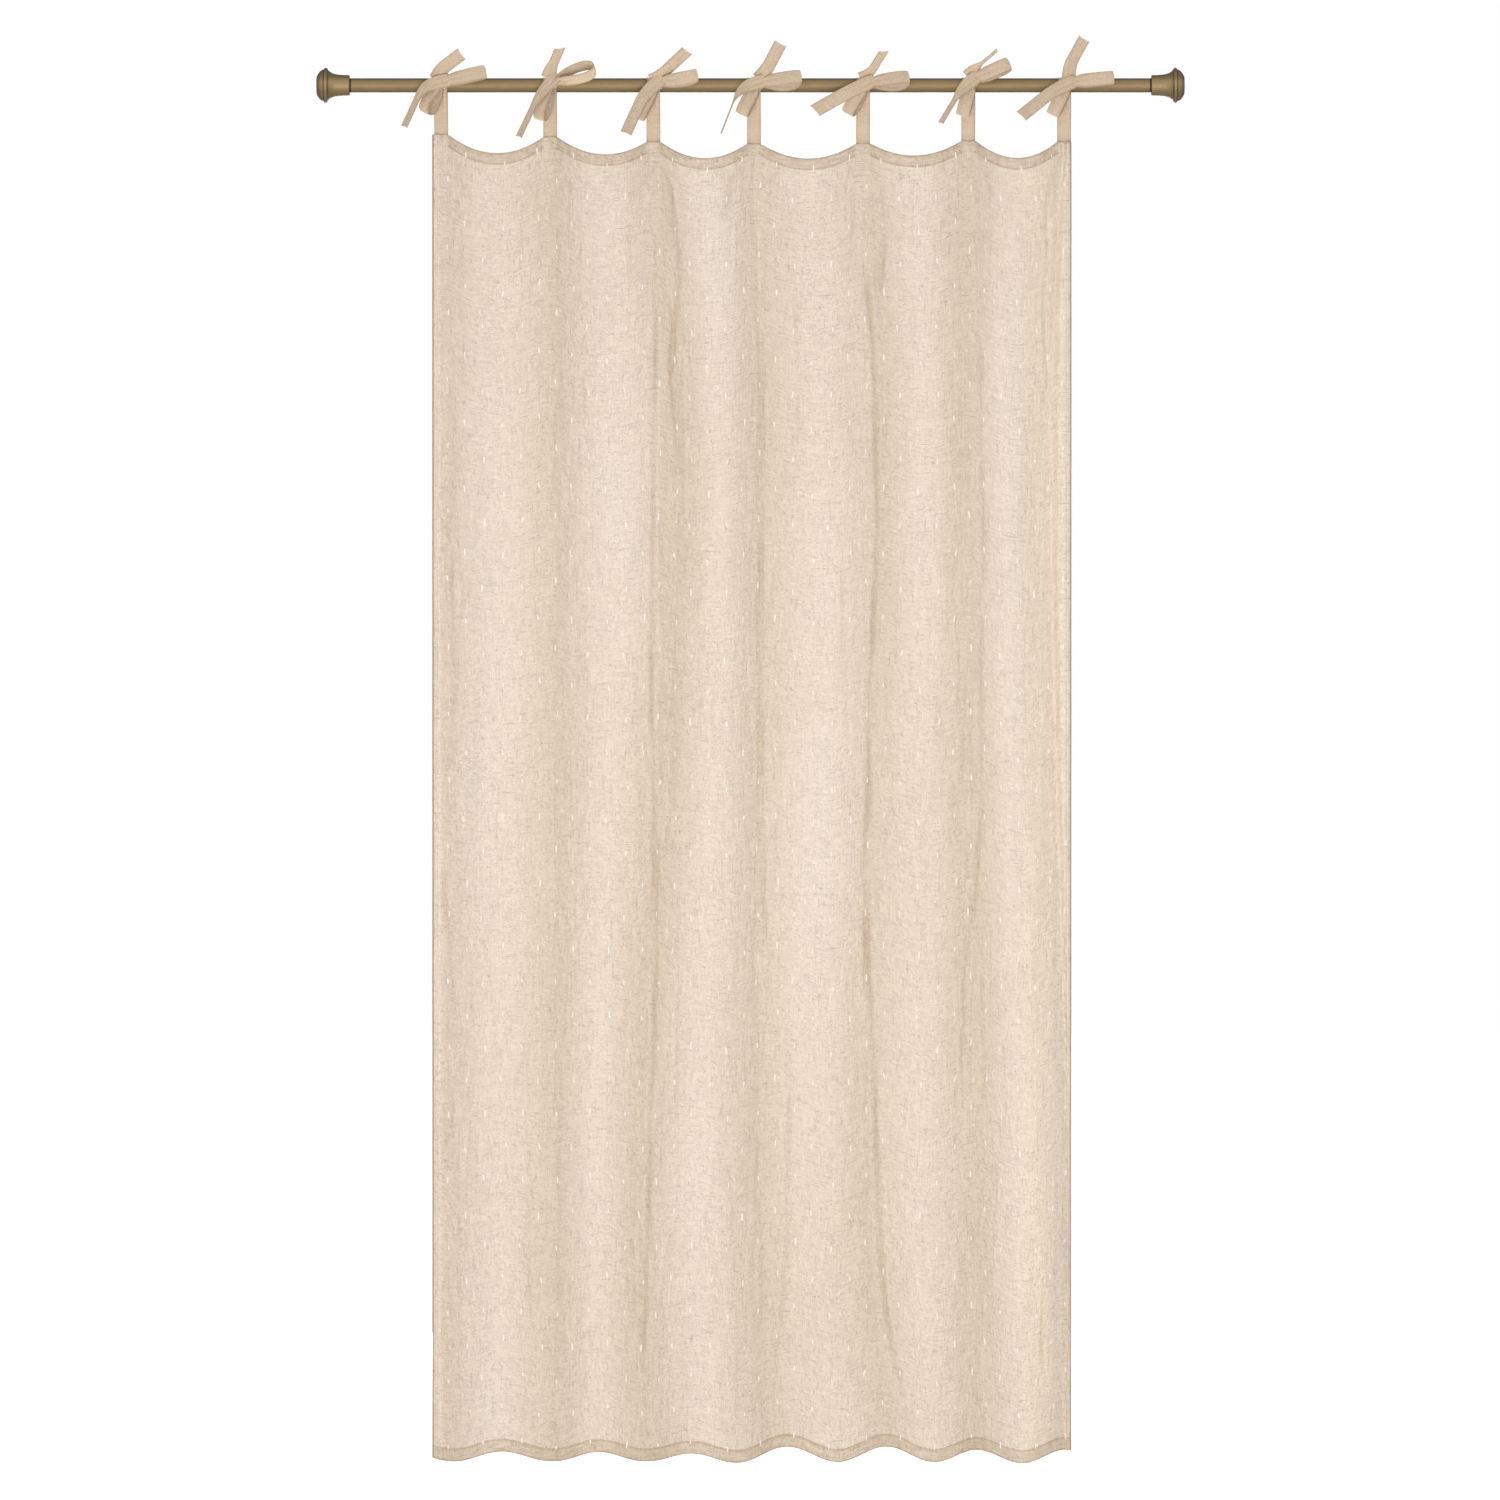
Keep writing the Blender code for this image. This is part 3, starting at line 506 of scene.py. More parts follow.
def cloth_material(weave):
    """Thin slub gauze. Its colour takes painted shade where it lies double, along its rims, in the
    valleys and in creases, and painted light on the outer flank of its last fold; it is also darker
    at its seams. U and V are its flat place."""
    material, nodes, shader = new_material("slub_gauze")
    place = nodes.add("ShaderNodeTexCoord").outputs["UV"]
    threads = use_group(nodes, weave, place)
    split = nodes.add("ShaderNodeSeparateXYZ", {0: place})
    across, down = split.outputs["X"], split.outputs["Y"]
    above_foot = nodes.minus(CLOTH_LENGTH, down)
    in_hem = nodes.maths("MINIMUM", nodes.maths("DIVIDE", down, TOP_HEM),
                         nodes.maths("DIVIDE", above_foot, FOOT_HEM))
    from_side = nodes.maths("MINIMUM", across, nodes.minus(FLAT_WIDTH, across))
    in_side = nodes.maths("DIVIDE", from_side, SIDE_HEM)
    phase = nodes.maths("DIVIDE", nodes.minus(across, TAPE_INSET), FLAT_PITCH)
    from_tape = nodes.maths("PINGPONG", phase, 0.5)
    beside_tape = nodes.span(from_tape, TAPE_WIDTH * 0.4 / FLAT_PITCH,
                             TAPE_WIDTH * 0.6 / FLAT_PITCH, 0.12, 1.0)
    at_foot = nodes.span(above_foot, FOOT_HEM * 1.5, FOOT_HEM * 1.2)
    beside_tape = nodes.maths("MAXIMUM", beside_tape, at_foot)
    patchy = nodes.span(noise(nodes, place, 34.0, 120.0, 3.0, 0.6), 0.36, 0.62, 0.45, 1.0)
    # Painted shade where the cloth lies double, in the top and foot hems and faintly in the side
    # hems: it stands in for the light a double layer lets through less. Less of it beside the
    # tapes.
    hem = nodes.times(nodes.times(nodes.span(in_hem, 1.04, 0.98), patchy), beside_tape)
    hem = nodes.maths("MAXIMUM", hem, nodes.span(in_side, 1.1, 0.95, 0.0, 0.25))
    from_seam = nodes.maths("ABSOLUTE", nodes.minus(in_hem, 0.95))
    seam = nodes.times(nodes.span(from_seam, 0.03, 0.13, 1.0, 0.0), beside_tape)
    # Painted shade along the turned edges of the cloth, less of it beside the tapes.
    rim_shade = nodes.span(nodes.maths("MINIMUM", down, above_foot), 0.0006, 0.0028, 0.8, 0.0)
    rim_shade = nodes.times(rim_shade, beside_tape)
    rim_shade = nodes.maths("MAXIMUM", rim_shade, nodes.span(from_side, 0.0012, 0.0042, 1.0, 0.0))
    fold, pressed, flank = (nodes.add("ShaderNodeAttribute", attribute_name=label).outputs["Fac"]
                            for label in SHADES)
    drift = noise(nodes, place, 2.6, 1.1, 2.0)
    colour = nodes.mix(nodes.span(drift, 0.35, 0.65), linear(241, 224, 207), linear(244, 229, 213))
    colour = nodes.tint(colour, threads["Slubs"], 0.36, (216, 194, 170))
    gaps = nodes.span(threads["Height"], 0.0, 0.45, 0.16, 0.0)
    colour = nodes.mix(gaps, colour, linear(196, 172, 146))
    # Painted shade in the valleys (fold) and in creases (pressed), painted light on the outer flank
    # of the last fold, painted shade in the doubled hems and along the rims; the seams are darker
    # stitch lines.
    for mask, share, shade in (
            (fold, 0.54, (214, 197, 175)), (pressed, 0.38, (178, 158, 134)),
            (flank, 0.60, (250, 233, 209)), (hem, 0.66, (206, 185, 157)),
            (seam, 0.42, (180, 154, 123)), (rim_shade, 0.60, (170, 143, 112))):
        colour = nodes.tint(colour, mask, share, shade)
    woven_finish(nodes, shader, threads, colour, (threads["Crinkle"], 0.016, 0.80),
                 (threads["Slubs"], 0.0011, 1.0))
    return material


def tape_material(weave):
    """The same gauze in two layers, stitched along both edges. Painted light makes it paler where
    it turns away, and painted shade darkens its edges and its pleats. U runs across from the
    middle."""
    material, nodes, shader = new_material("stitched_tape")
    place = nodes.add("ShaderNodeTexCoord").outputs["UV"]
    threads = use_group(nodes, weave, place, Slub=1.2)
    across = nodes.add("ShaderNodeSeparateXYZ", {0: place}).outputs["X"]
    from_middle = nodes.maths("ABSOLUTE", across)
    seam = nodes.maths("ABSOLUTE", nodes.minus(from_middle, TAPE_WIDTH / 2 - 0.0030))
    seam = nodes.span(seam, 0.0, 0.0010, 1.0, 0.0)
    edge = nodes.span(from_middle, TAPE_WIDTH / 2 - 0.0022, TAPE_WIDTH / 2 - 0.0002)
    pleat_shade = nodes.add("ShaderNodeAttribute", attribute_name="pleat_shade").outputs["Fac"]
    drift = noise(nodes, place, 30.0, 22.0, 3.0)
    colour = nodes.mix(nodes.span(drift, 0.3, 0.7), linear(203, 183, 158), linear(212, 193, 169))
    colour = nodes.tint(colour, threads["Slubs"], 0.40, (180, 156, 128))
    # Painted light: paler where the tape turns away from the view.
    turned = nodes.add("ShaderNodeLayerWeight", {"Blend": 0.5}).outputs["Facing"]
    colour = nodes.mix(nodes.span(turned, 0.10, 0.70, 0.0, 0.85), colour, linear(246, 223, 192))
    # Painted shade along the tape's edges and in its pleats; the seams are darker stitching.
    for mask, share, shade in ((seam, 0.25, (168, 142, 112)), (edge, 0.75, (160, 133, 102)),
                               (pleat_shade, 0.20, (150, 124, 94))):
        colour = nodes.tint(colour, mask, share, shade)
    woven_finish(nodes, shader, threads, colour, (threads["Crinkle"], 0.009, 0.8),
                 (seam, 0.0006, -0.8))
    return material


def thread_material(name, pale, deep):
    """Twisted thread: fine ribs across, and a slow change of tint."""
    material, nodes, shader = new_material(name)
    place = nodes.add("ShaderNodeTexCoord").outputs["Object"]
    tint = nodes.add("ShaderNodeTexNoise", {"Vector": place, "Scale": 24.0, "Detail": 2.0})
    twist = nodes.add("ShaderNodeTexWave", {"Vector": place, "Scale": 420.0, "Distortion": 1.5})
    tint, twist = tint.outputs["Fac"], twist.outputs["Fac"]
    colour = nodes.mix(nodes.span(tint, 0.38, 0.62), linear(*pale), linear(*deep))
    nodes.feed(shader.inputs["Base Color"], colour)
    nodes.feed(shader.inputs["Roughness"], nodes.span(twist, 0.0, 1.0, 0.62, 0.80))
    nodes.feed(shader.inputs["Normal"], bump(nodes, twist, 0.0003, 0.5))
    return material


def metal_material(tarnish, name, pale, deep, roughness):
    """Satin plating with tarnish in clouds. Painted shade darkens it below and above the rod's
    axis, on the rod at each cap's mouth, and towards its outline; it is also darker in the grooves
    beside the caps' bead."""
    material, nodes, shader = new_material(name)
    place = nodes.add("ShaderNodeTexCoord").outputs["Object"]
    marks = use_group(nodes, tarnish, place)
    cloud = nodes.span(marks["Clouds"], 0.35, 0.68)
    colour = nodes.mix(cloud, linear(*pale), linear(*deep))
    split = nodes.add("ShaderNodeSeparateXYZ", {0: place})
    # Painted shade on the underside and along the top of the rod and caps.
    under = nodes.span(split.outputs["Z"], -ROD_RADIUS, ROD_RADIUS * 0.2, 0.50, 0.0)
    above = nodes.span(split.outputs["Z"], ROD_RADIUS * 0.45, ROD_RADIUS, 0.0, 0.35)
    colour = nodes.mix(nodes.maths("ADD", under, above), colour, linear(74, 58, 30))
    # The first ring is a painted shadow on the rod at each cap's mouth; the other two darken the
    # grooves beside the bead.
    for groove, share in ((FINIAL_MOUTH - 0.0016, 1.0), (BEAD_MIDDLE - BEAD_RADIUS, 0.40),
                          (BEAD_MIDDLE + BEAD_RADIUS, 0.40)):
        near = nodes.minus(nodes.maths("ABSOLUTE", split.outputs["X"]), groove)
        near = nodes.span(nodes.maths("ABSOLUTE", near), 0.0006, 0.0022, share, 0.0)
        colour = nodes.mix(near, colour, linear(46, 33, 12))
    # Painted shade towards the outline, where the surface turns away from the view.
    rim_shade = nodes.add("ShaderNodeLayerWeight", {"Blend": 0.5}).outputs["Facing"]
    rim_shade = nodes.span(nodes.times(rim_shade, rim_shade), 0.04, 0.55, 0.0, 0.90)
    nodes.feed(shader.inputs["Base Color"], nodes.mix(rim_shade, colour, linear(40, 30, 16)))
    rough = nodes.span(marks["Clouds"], 0.3, 0.7, roughness - 0.01, roughness + 0.02)
    nodes.feed(shader.inputs["Roughness"], rough)
    shader.inputs["Metallic"].default_value = 0.22
    shader.inputs["Specular IOR Level"].default_value = 0.05
    nodes.feed(shader.inputs["Normal"], bump(nodes, marks["Lines"], 0.00006, 0.35))
    return material


# Cloth panel


# Masks for the cloth's colour: painted shade in the valleys and in the creases, and painted light
# on the outer flank of the last fold.
SHADES = ("fold", "pressed", "flank_painted_light")
Crease = namedtuple("Crease", "width depth points")
# Each runs through these places in the photograph, in pixels. A depth below 0 is a ridge.
CREASES = (
    Crease(0.0050, 0.0052, ((660, 160), (670, 182), (673, 220), (679, 266), (675, 312), (671, 352),
                            (673, 400), (677, 442), (680, 485))),
    Crease(0.0045, 0.0048, ((656, 230), (657, 300), (655, 420), (653, 560), (652, 700), (655, 800),
                            (655, 965), (650, 1100), (646, 1250), (641, 1375))),
    Crease(0.0040, 0.0022, ((676, 900), (677, 1000), (676, 1100), (678, 1205))),
    Crease(0.0045, 0.0040, ((760, 285), (762, 400), (761, 600), (761, 800), (765, 965))),
    Crease(0.0055, 0.0030, ((788, 1010), (788, 1120), (787, 1230), (783, 1300), (776, 1360),
                            (770, 1405))),
    Crease(0.0060, 0.0034, ((741, 160), (731, 186), (723, 222))),
    Crease(0.0050, 0.0018, ((791, 190), (795, 265), (796, 340), (798, 400), (797, 450))),
    Crease(0.0075, 0.0040, ((870, 162), (882, 190), (884, 240), (879, 300))),
    Crease(0.0050, 0.0062, ((866, 265), (872, 325), (877, 410), (876, 450), (879, 515), (877, 570),
                            (874, 630), (870, 700), (869, 800), (866, 850), (867, 970), (872, 1030),
                            (875, 1120), (878, 1210), (882, 1280), (887, 1320), (896, 1370),
                            (903, 1405))),
    Crease(0.0040, -0.0018, ((862, 430), (863, 560), (862, 700), (858, 790))),
    Crease(0.0050, 0.0032, ((979, 340), (980, 450), (982, 550), (980, 650), (981, 800), (975, 890),
                            (966, 960), (962, 1105))),
    Crease(0.0045, 0.0030, ((1060, 158), (1051, 182), (1047, 205), (1048, 250), (1044, 300),
                            (1045, 340), (1048, 378), (1042, 425), (1038, 475))),
    Crease(0.0045, 0.0030, ((1045, 1280), (1042, 1340), (1048, 1405))),
    Crease(0.0055, 0.0030, ((453, 158), (460, 180), (467, 205))),
    Crease(0.0040, 0.0020, ((460, 240), (460, 350))),
    Crease(0.0040, 0.0026, ((450, 520), (451, 620), (452, 730))),
    Crease(0.0040, 0.0026, ((442, 870), (450, 970), (457, 1045))),
    Crease(0.0060, 0.0022, ((565, 165), (569, 205), (570, 260))),
    Crease(0.0050, 0.0018, ((528, 172), (522, 205), (519, 260))),
    Crease(0.0042, 0.0030, ((636, 166), (629, 225), (631, 312))),
    Crease(0.0050, 0.0022, ((984, 165), (989, 182), (993, 200))),
    Crease(0.0050, 0.0020, ((843, 560), (845, 650), (848, 760))),
    Crease(0.0050, 0.0022, ((530, 1130), (528, 1220), (533, 1330))),
)


def tape_x(index):
    share = index / BAYS
    even = (LEFT_EDGE + EDGE_TO_TAPE) * (1 - share) + (RIGHT_EDGE - EDGE_TO_TAPE) * share
    return even + TIES[index].slip


TAPE_XS = np.array([tape_x(index) for index in range(len(TIES))])
TAPE_TOPS = np.array([-tie.drop for tie in TIES])


def top_height(x):
    """The scalloped top edge: level across each tape, with a shallow arc from one to the next."""
    bay = np.clip(np.searchsorted(TAPE_XS, x) - 1, 0, BAYS - 1)
    start = TAPE_XS[bay] + TAPE_WIDTH / 2
    end = TAPE_XS[bay + 1] - TAPE_WIDTH / 2
    share = np.clip((x - start) / (end - start), 0.0, 1.0)
    line = TAPE_TOPS[bay] + (TAPE_TOPS[bay + 1] - TAPE_TOPS[bay]) * share
    return line - 4 * np.array(SCALLOP_SAGS)[bay] * share * (1 - share)


def hem_height(x):
    """The wavy lower edge."""
    lows = HEM_WAVE_SHIFT + HEM_WAVE_SCALE * TAPE_XS
    lows = np.concatenate([[2 * lows[0] - lows[1]], lows, [2 * lows[-1] - lows[-2]]])
    phase = np.interp(x, lows, np.arange(len(lows)))
    bay = np.clip(phase.astype(int) - 1, 0, BAYS - 1)
    lift = np.array(HEM_LIFTS)[bay] * (1 - np.cos(2 * math.pi * phase)) / 2
    return -MEAN_DROP - CLOTH_LENGTH + lift


def valley_drifts(level):
    drifts = []
    for tie in TIES:
        curve = np.polyfit(DRIFT_LEVELS, (0.0, *tie.drifts), len(DRIFT_LEVELS) - 1)
        drifts.append(np.polyval(curve, level))
    return np.array(drifts)


def bulge_shape(share):
    rounded = (1 - np.cos(2 * math.pi * share)) / 2
    return (1 - VALLEY_SHARPNESS) * rounded + VALLEY_SHARPNESS * np.sin(math.pi * share)


def flap_shape(share):
    return smooth(share / FLAP_RISE)


def fold_span(start_x, end_x, level, flat, shape):
    """Points across one fold whose length along the cloth is flat, and the depth that gives it."""
    share = np.linspace(0.0, 1.0, FOLD_POINTS)
    x = start_x + (end_x - start_x) * share
    z = (1 - level) * top_height(x) + level * hem_height(x)
    form = shape(share)
    level_run = np.diff(x) ** 2 + np.diff(z) ** 2
    shallow, deep = 0.0, MOST_BULGE
    for _ in range(FOLD_TRIES):
        depth = (shallow + deep) / 2
        if np.sqrt(level_run + (depth * np.diff(form)) ** 2).sum() < flat:
            shallow = depth
        else:
            deep = depth
    return x, depth, form, z


def panel_row(level, flats):
    """One row of the cloth: its points at these flat places, each with how near a valley is."""
    drifts = valley_drifts(level)
    ends = np.concatenate([[LEFT_EDGE], TAPE_XS + drifts, [RIGHT_EDGE]])
    marks = TAPE_INSET + FLAT_PITCH * np.arange(len(TIES)) + drifts * FLAT_WIDTH / HUNG_WIDTH
    marks = np.concatenate([[0.0], marks, [FLAT_WIDTH]])
    places, xs, ys, zs, valleys = [], [], [], [], []
    for index in range(len(marks) - 1):
        flat = marks[index + 1] - marks[index]
        outermost = index in (0, len(marks) - 2)
        start, end = (ends[1], ends[0]) if index == 0 else (ends[index], ends[index + 1])
        x, depth, form, z = fold_span(start, end, level, flat,
                                      flap_shape if outermost else bulge_shape)
        if index == 0:
            x, form, z = x[::-1], form[::-1], z[::-1]
        forward = (depth if outermost else max(depth, LEAST_BULGE)) * form
        steps = np.sqrt(np.diff(x) ** 2 + np.diff(forward) ** 2 + np.diff(z) ** 2)
        along = np.concatenate([[0.0], np.cumsum(steps)])
        places.append(marks[index] + flat * along / along[-1])
        xs.append(x)
        ys.append(-forward)
        zs.append(z)
        valleys.append(1 - form)
    places, xs, ys, zs, valleys = (np.concatenate(part) for part in (places, xs, ys, zs, valleys))
    mean_depth = -((ys[1:] + ys[:-1]) / 2 * np.diff(xs)).sum() / HUNG_WIDTH
    ys = ys + mean_depth
    return np.stack([np.interp(flats, places, part) for part in (xs, ys, zs, valleys)], axis=1)


def crease_field(x, z):
    """At these places: how far back the creases press the cloth, and how deep they are."""
    back = np.zeros_like(x)
    grooves = np.zeros_like(x)
    for crease in CREASES:
        line = np.array([from_photo(*point) for point in crease.points])
        order = np.argsort(line[:, 1])
        line_x = np.interp(z, line[order, 1], line[order, 0])
        low, high = line[:, 1].min(), line[:, 1].max()
        fade = min(CREASE_FADE, (high - low) * 0.4)
        ends = smooth((z - low) / fade + 0.15) * smooth((high - z) / fade + 0.25)
        ends *= 1 - CREASE_BEAT + CREASE_BEAT * np.sin(z * 19.0 + line_x[0, 0] * 40.0)
        beside = (x - line_x) / crease.width
        groove = np.exp(-beside ** 2)
        ridges = RIDGE_SHARE * np.exp(-((np.abs(beside) - RIDGE_PLACE) / RIDGE_WIDTH) ** 2)
        back += crease.depth * ends * (groove - ridges)
        grooves += max(crease.depth, 0.0) * ends * groove
    return back, grooves


def rough_field(across, down, seed):
    """Even noise on the cloth's grid with about these wavelengths, and a deviation of 1."""
    random = np.random.default_rng(seed)
    field = np.fft.fft2(random.standard_normal((CLOTH_ROWS, CLOTH_COLUMNS)))
    u = np.fft.fftfreq(CLOTH_COLUMNS, FLAT_WIDTH / CLOTH_COLUMNS)[None, :] * across
    v = np.fft.fftfreq(CLOTH_ROWS, CLOTH_LENGTH / CLOTH_ROWS)[:, None] * down
    radius = np.sqrt(u * u + v * v)
    field = np.fft.ifft2(field * np.exp(-((radius - 1.0) / WAVE_BAND) ** 2)).real
    return field / field.std()


class Surface:
    """The hung cloth on an even grid, with places between its points found by interpolation."""

    def __init__(self):
        flats = np.linspace(0.0, FLAT_WIDTH, CLOTH_COLUMNS)
        depths = np.linspace(0.0, CLOTH_LENGTH, CLOTH_ROWS)
        rows = np.array([panel_row(depth / CLOTH_LENGTH, flats) for depth in depths])
        points, valley = rows[:, :, :3], rows[:, :, 3]
        x, z = points[:, :, 0], points[:, :, 2]
        u, v = np.meshgrid(flats, depths)
        from_side = np.minimum(u, FLAT_WIDTH - u)
        below_top, above_foot = v, CLOTH_LENGTH - v
        free = smooth(below_top / 0.05 - 0.35) * smooth(from_side / 0.02)
        share = u / FLAT_WIDTH
        past_last = smooth((share - FLANK_START) / FLANK_RISE)
        # The last bay keeps little of the valley mask: less painted shade there, and finer
        # crinkles.
        valley *= 1 - 0.9 * past_last
        flank_painted_light = past_last * smooth((FLANK_END - share) / FLANK_FALL)
        back, grooves = crease_field(x, z)
        back *= free
        fine = rough_field(*FINE_WAVES) * FINE_HEIGHT
        back += fine * (0.45 + 1.8 * valley) * smooth(below_top / 0.04)
        back += rough_field(*BROAD_WAVES) * BROAD_HEIGHT * smooth(below_top / 0.08)
        for from_edge, hem, along in ((below_top, TOP_HEM, u), (above_foot, FOOT_HEM, u),
                                      (from_side, SIDE_HEM, v)):
            pucker = np.sin(along * 2 * math.pi / PUCKER_PITCH + 2.0 * np.sin(along * 31.0))
            seam = np.exp(-((from_edge - hem + STITCH_INSET) / SEAM_WIDTH) ** 2)
            back += seam * (SEAM_DEPTH + PUCKER_DEPTH * pucker)
        back += SIDE_CURL * np.clip(1 - from_side / SIDE_CURL_WIDTH, 0.0, 1.0) ** 2
        points[:, :, 1] += back - TURN_RADIUS
        down, across = np.gradient(points, depths, flats, axis=(0, 1))
        facing = np.cross(down, across)
        facing /= np.linalg.norm(facing, axis=2, keepdims=True)
        # The creases' mask of painted shade.
        pressed = np.clip(grooves * free / FULL_GROOVE, 0.0, 1.0)
        shade = np.stack([valley, pressed, flank_painted_light], axis=2)
        self.fields = np.concatenate([points, across, down, facing, shade], axis=2)

    def at(self, u, v):
        """At flat places: the point, the directions across, down and to the front, and how near it
        is to a valley, to a crease and to the outer flank of the last fold, as masks of painted
        shade and painted light for the cloth's colour."""
        column = np.clip(u / FLAT_WIDTH * (CLOTH_COLUMNS - 1), 0, CLOTH_COLUMNS - 1)
        row = np.clip(v / CLOTH_LENGTH * (CLOTH_ROWS - 1), 0, CLOTH_ROWS - 1)
        left = np.minimum(column.astype(int), CLOTH_COLUMNS - 2)
        above = np.minimum(row.astype(int), CLOTH_ROWS - 2)
        to_right = (column - left)[..., None]
        to_below = (row - above)[..., None]
        fields = self.fields
        upper = fields[above, left] * (1 - to_right) + fields[above, left + 1] * to_right
        lower = fields[above + 1, left] * (1 - to_right) + fields[above + 1, left + 1] * to_right
        mixed = upper * (1 - to_below) + lower * to_below
        point, across, down, facing = (mixed[..., start:start + 3] for start in (0, 3, 6, 9))
        shade = mixed[..., 12:]
        past_u = (u - np.clip(u, 0.0, FLAT_WIDTH))[..., None]
        past_v = (v - np.clip(v, 0.0, CLOTH_LENGTH))[..., None]
        return point + across * past_u + down * past_v, across, down, facing, shade


def turned_stations(length, count, first_hem, last_hem):
    """Places across the cut cloth with its turned hems: where each lies, and how far behind."""
    sides = []
    for sign, edge, hem in ((-1, 0.0, first_hem), (1, length, last_hem)):
        turn = np.linspace(0.0, math.pi, TURN_STEPS + 1)[1:]
        past = list(turn * TURN_RADIUS)
        inwards = list(-TURN_RADIUS * np.sin(turn))
        back = list(TURN_RADIUS * (1 - np.cos(turn)))
        for step in range(1, FACING_STEPS + 1):
            inwards.append(hem * step / FACING_STEPS)
            past.append(math.pi * TURN_RADIUS + inwards[-1])
            back.append(2 * TURN_RADIUS)
        sides.append([(edge + sign * p, edge - sign * i, b)
                      for p, i, b in zip(past, inwards, back)])
    middle = [(place, place, 0.0) for place in np.linspace(0.0, length, count)]
    return np.array(sides[0][::-1] + middle + sides[1]).T


def mapped_mesh(name, points, faces, uvs, values):
    """A mesh with a UV map in metres and values on its points."""
    mesh = bpy.data.meshes.new(name)
    mesh.from_pydata(points.tolist(), [], faces)
    layer = mesh.uv_layers.new(name="UVMap")
    order = np.empty(len(mesh.loops), int)
    mesh.loops.foreach_get("vertex_index", order)
    layer.data.foreach_set("uv", uvs[order].ravel())
    for label, field in values.items():
        attribute = mesh.attributes.new(label, "FLOAT", "POINT")
        attribute.data.foreach_set("value", field.astype(np.float32).ravel())
    mesh.shade_smooth()
    return mesh


def finished(name, mesh, material, nodes=()):
    """A piece of the object that rides on its one body."""
    piece = bpy.data.objects.new(name, mesh)
    bpy.context.scene.collection.objects.link(piece)
    if material is not None:
        mesh.materials.clear()
        mesh.materials.append(material)
    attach(piece, "root")
    if nodes:
        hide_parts(*nodes)
    return piece


def cloth_panel(surface, material):
    cut_u, lie_u, behind_u = turned_stations(FLAT_WIDTH, CLOTH_COLUMNS, SIDE_HEM, SIDE_HEM)
    cut_v, lie_v, behind_v = turned_stations(CLOTH_LENGTH, CLOTH_ROWS, TOP_HEM, FOOT_HEM)
    u, v = np.meshgrid(lie_u, lie_v)
    point, _, _, facing, shade = surface.at(u, v)
    behind = behind_v[:, None] + behind_u[None, :]
    point = point - facing * behind[..., None]
    uvs = np.stack(np.meshgrid(cut_u, cut_v), axis=-1)
    corner = np.arange(u.size).reshape(u.shape)
    faces = np.stack([corner[:-1, :-1], corner[1:, :-1], corner[1:, 1:], corner[:-1, 1:]], axis=-1)
    values = {label: shade[..., index] for index, label in enumerate(SHADES)}
    mesh = mapped_mesh("curtain_cloth", point.reshape(-1, 3), faces.reshape(-1, 4).tolist(),
                       uvs.reshape(-1, 2), values)
    mesh.update()
    return finished("curtain_cloth", mesh, material, ["curtain_panel"])


# Threads that lie on the cloth


def random_between(nodes, low, high, seed):
    node = nodes.add("FunctionNodeRandomValue", {"Min": low, "Max": high, "Seed": seed},
                     data_type="FLOAT")
    return next(socket for socket in node.outputs if socket.enabled)


def thread_tree():
    """Lays short threads on points, each along the point's own direction and flat on the cloth."""
    tree = bpy.data.node_groups.new("laid_threads", "GeometryNodeTree")
    face = tree.interface
    face.new_socket("Geometry", in_out="OUTPUT", socket_type="NodeSocketGeometry")
    floats = ("Length", "Width", "Height", "Strand Spread", "Tilt", "Length Spread")
    for kind, labels in (("Geometry", ["Geometry"]), ("Float", floats), ("Int", ["Strands"]),
                         ("Material", ["Material"])):
        for label in labels:
            face.new_socket(label, in_out="INPUT", socket_type=f"NodeSocket{kind}")
    nodes = Nodes(tree)
    given = nodes.add("NodeGroupInput").outputs
    ball = nodes.add("GeometryNodeMeshUVSphere", {"Segments": 6, "Rings": 4, "Radius": 0.5})
    size = nodes.add("ShaderNodeCombineXYZ", {0: given["Length"], 1: given["Width"],
                                              2: given["Height"]})
    strand = nodes.add("GeometryNodeTransform", {0: ball, "Scale": size})
    step = nodes.add("ShaderNodeCombineXYZ", {1: given["Strand Spread"]})
    row = nodes.add("GeometryNodeMeshLine", {"Count": given["Strands"], "Offset": step},
                    mode="OFFSET")
    group = nodes.add("GeometryNodeInstanceOnPoints", {"Points": row, "Instance": strand})
    along, front = (nodes.add("GeometryNodeInputNamedAttribute", {"Name": label},
                              data_type="FLOAT_VECTOR") for label in ("along", "front"))
    first = nodes.add("FunctionNodeAlignRotationToVector", {"Vector": along}, axis="X")
    second = nodes.add("FunctionNodeAlignRotationToVector", {"Rotation": first, "Vector": front},
                       axis="Z", pivot_axis="X")
    lean = random_between(nodes, nodes.times(given["Tilt"], -1.0), given["Tilt"], 11)
    turn = nodes.add("ShaderNodeCombineXYZ", {2: lean})
    euler = nodes.add("FunctionNodeEulerToRotation", {0: turn})
    whole = nodes.add("FunctionNodeRotateRotation", {0: second, 1: euler}, rotation_space="LOCAL")
    shortest = nodes.minus(1.0, given["Length Spread"])
    longest = nodes.maths("ADD", 1.0, given["Length Spread"])
    stretch = random_between(nodes, shortest, longest, 12)
    scale = nodes.add("ShaderNodeCombineXYZ", {0: stretch, 1: 1.0, 2: 1.0})
    laid = nodes.add("GeometryNodeInstanceOnPoints", {
        "Points": given["Geometry"], "Instance": group, "Rotation": whole, "Scale": scale})
    real = nodes.add("GeometryNodeRealizeInstances", {0: laid})
    painted = nodes.add("GeometryNodeSetMaterial", {0: real, "Material": given["Material"]})
    shaded = nodes.add("GeometryNodeSetShadeSmooth", {0: painted})
    nodes.add("NodeGroupOutput", {0: shaded})
    return tree


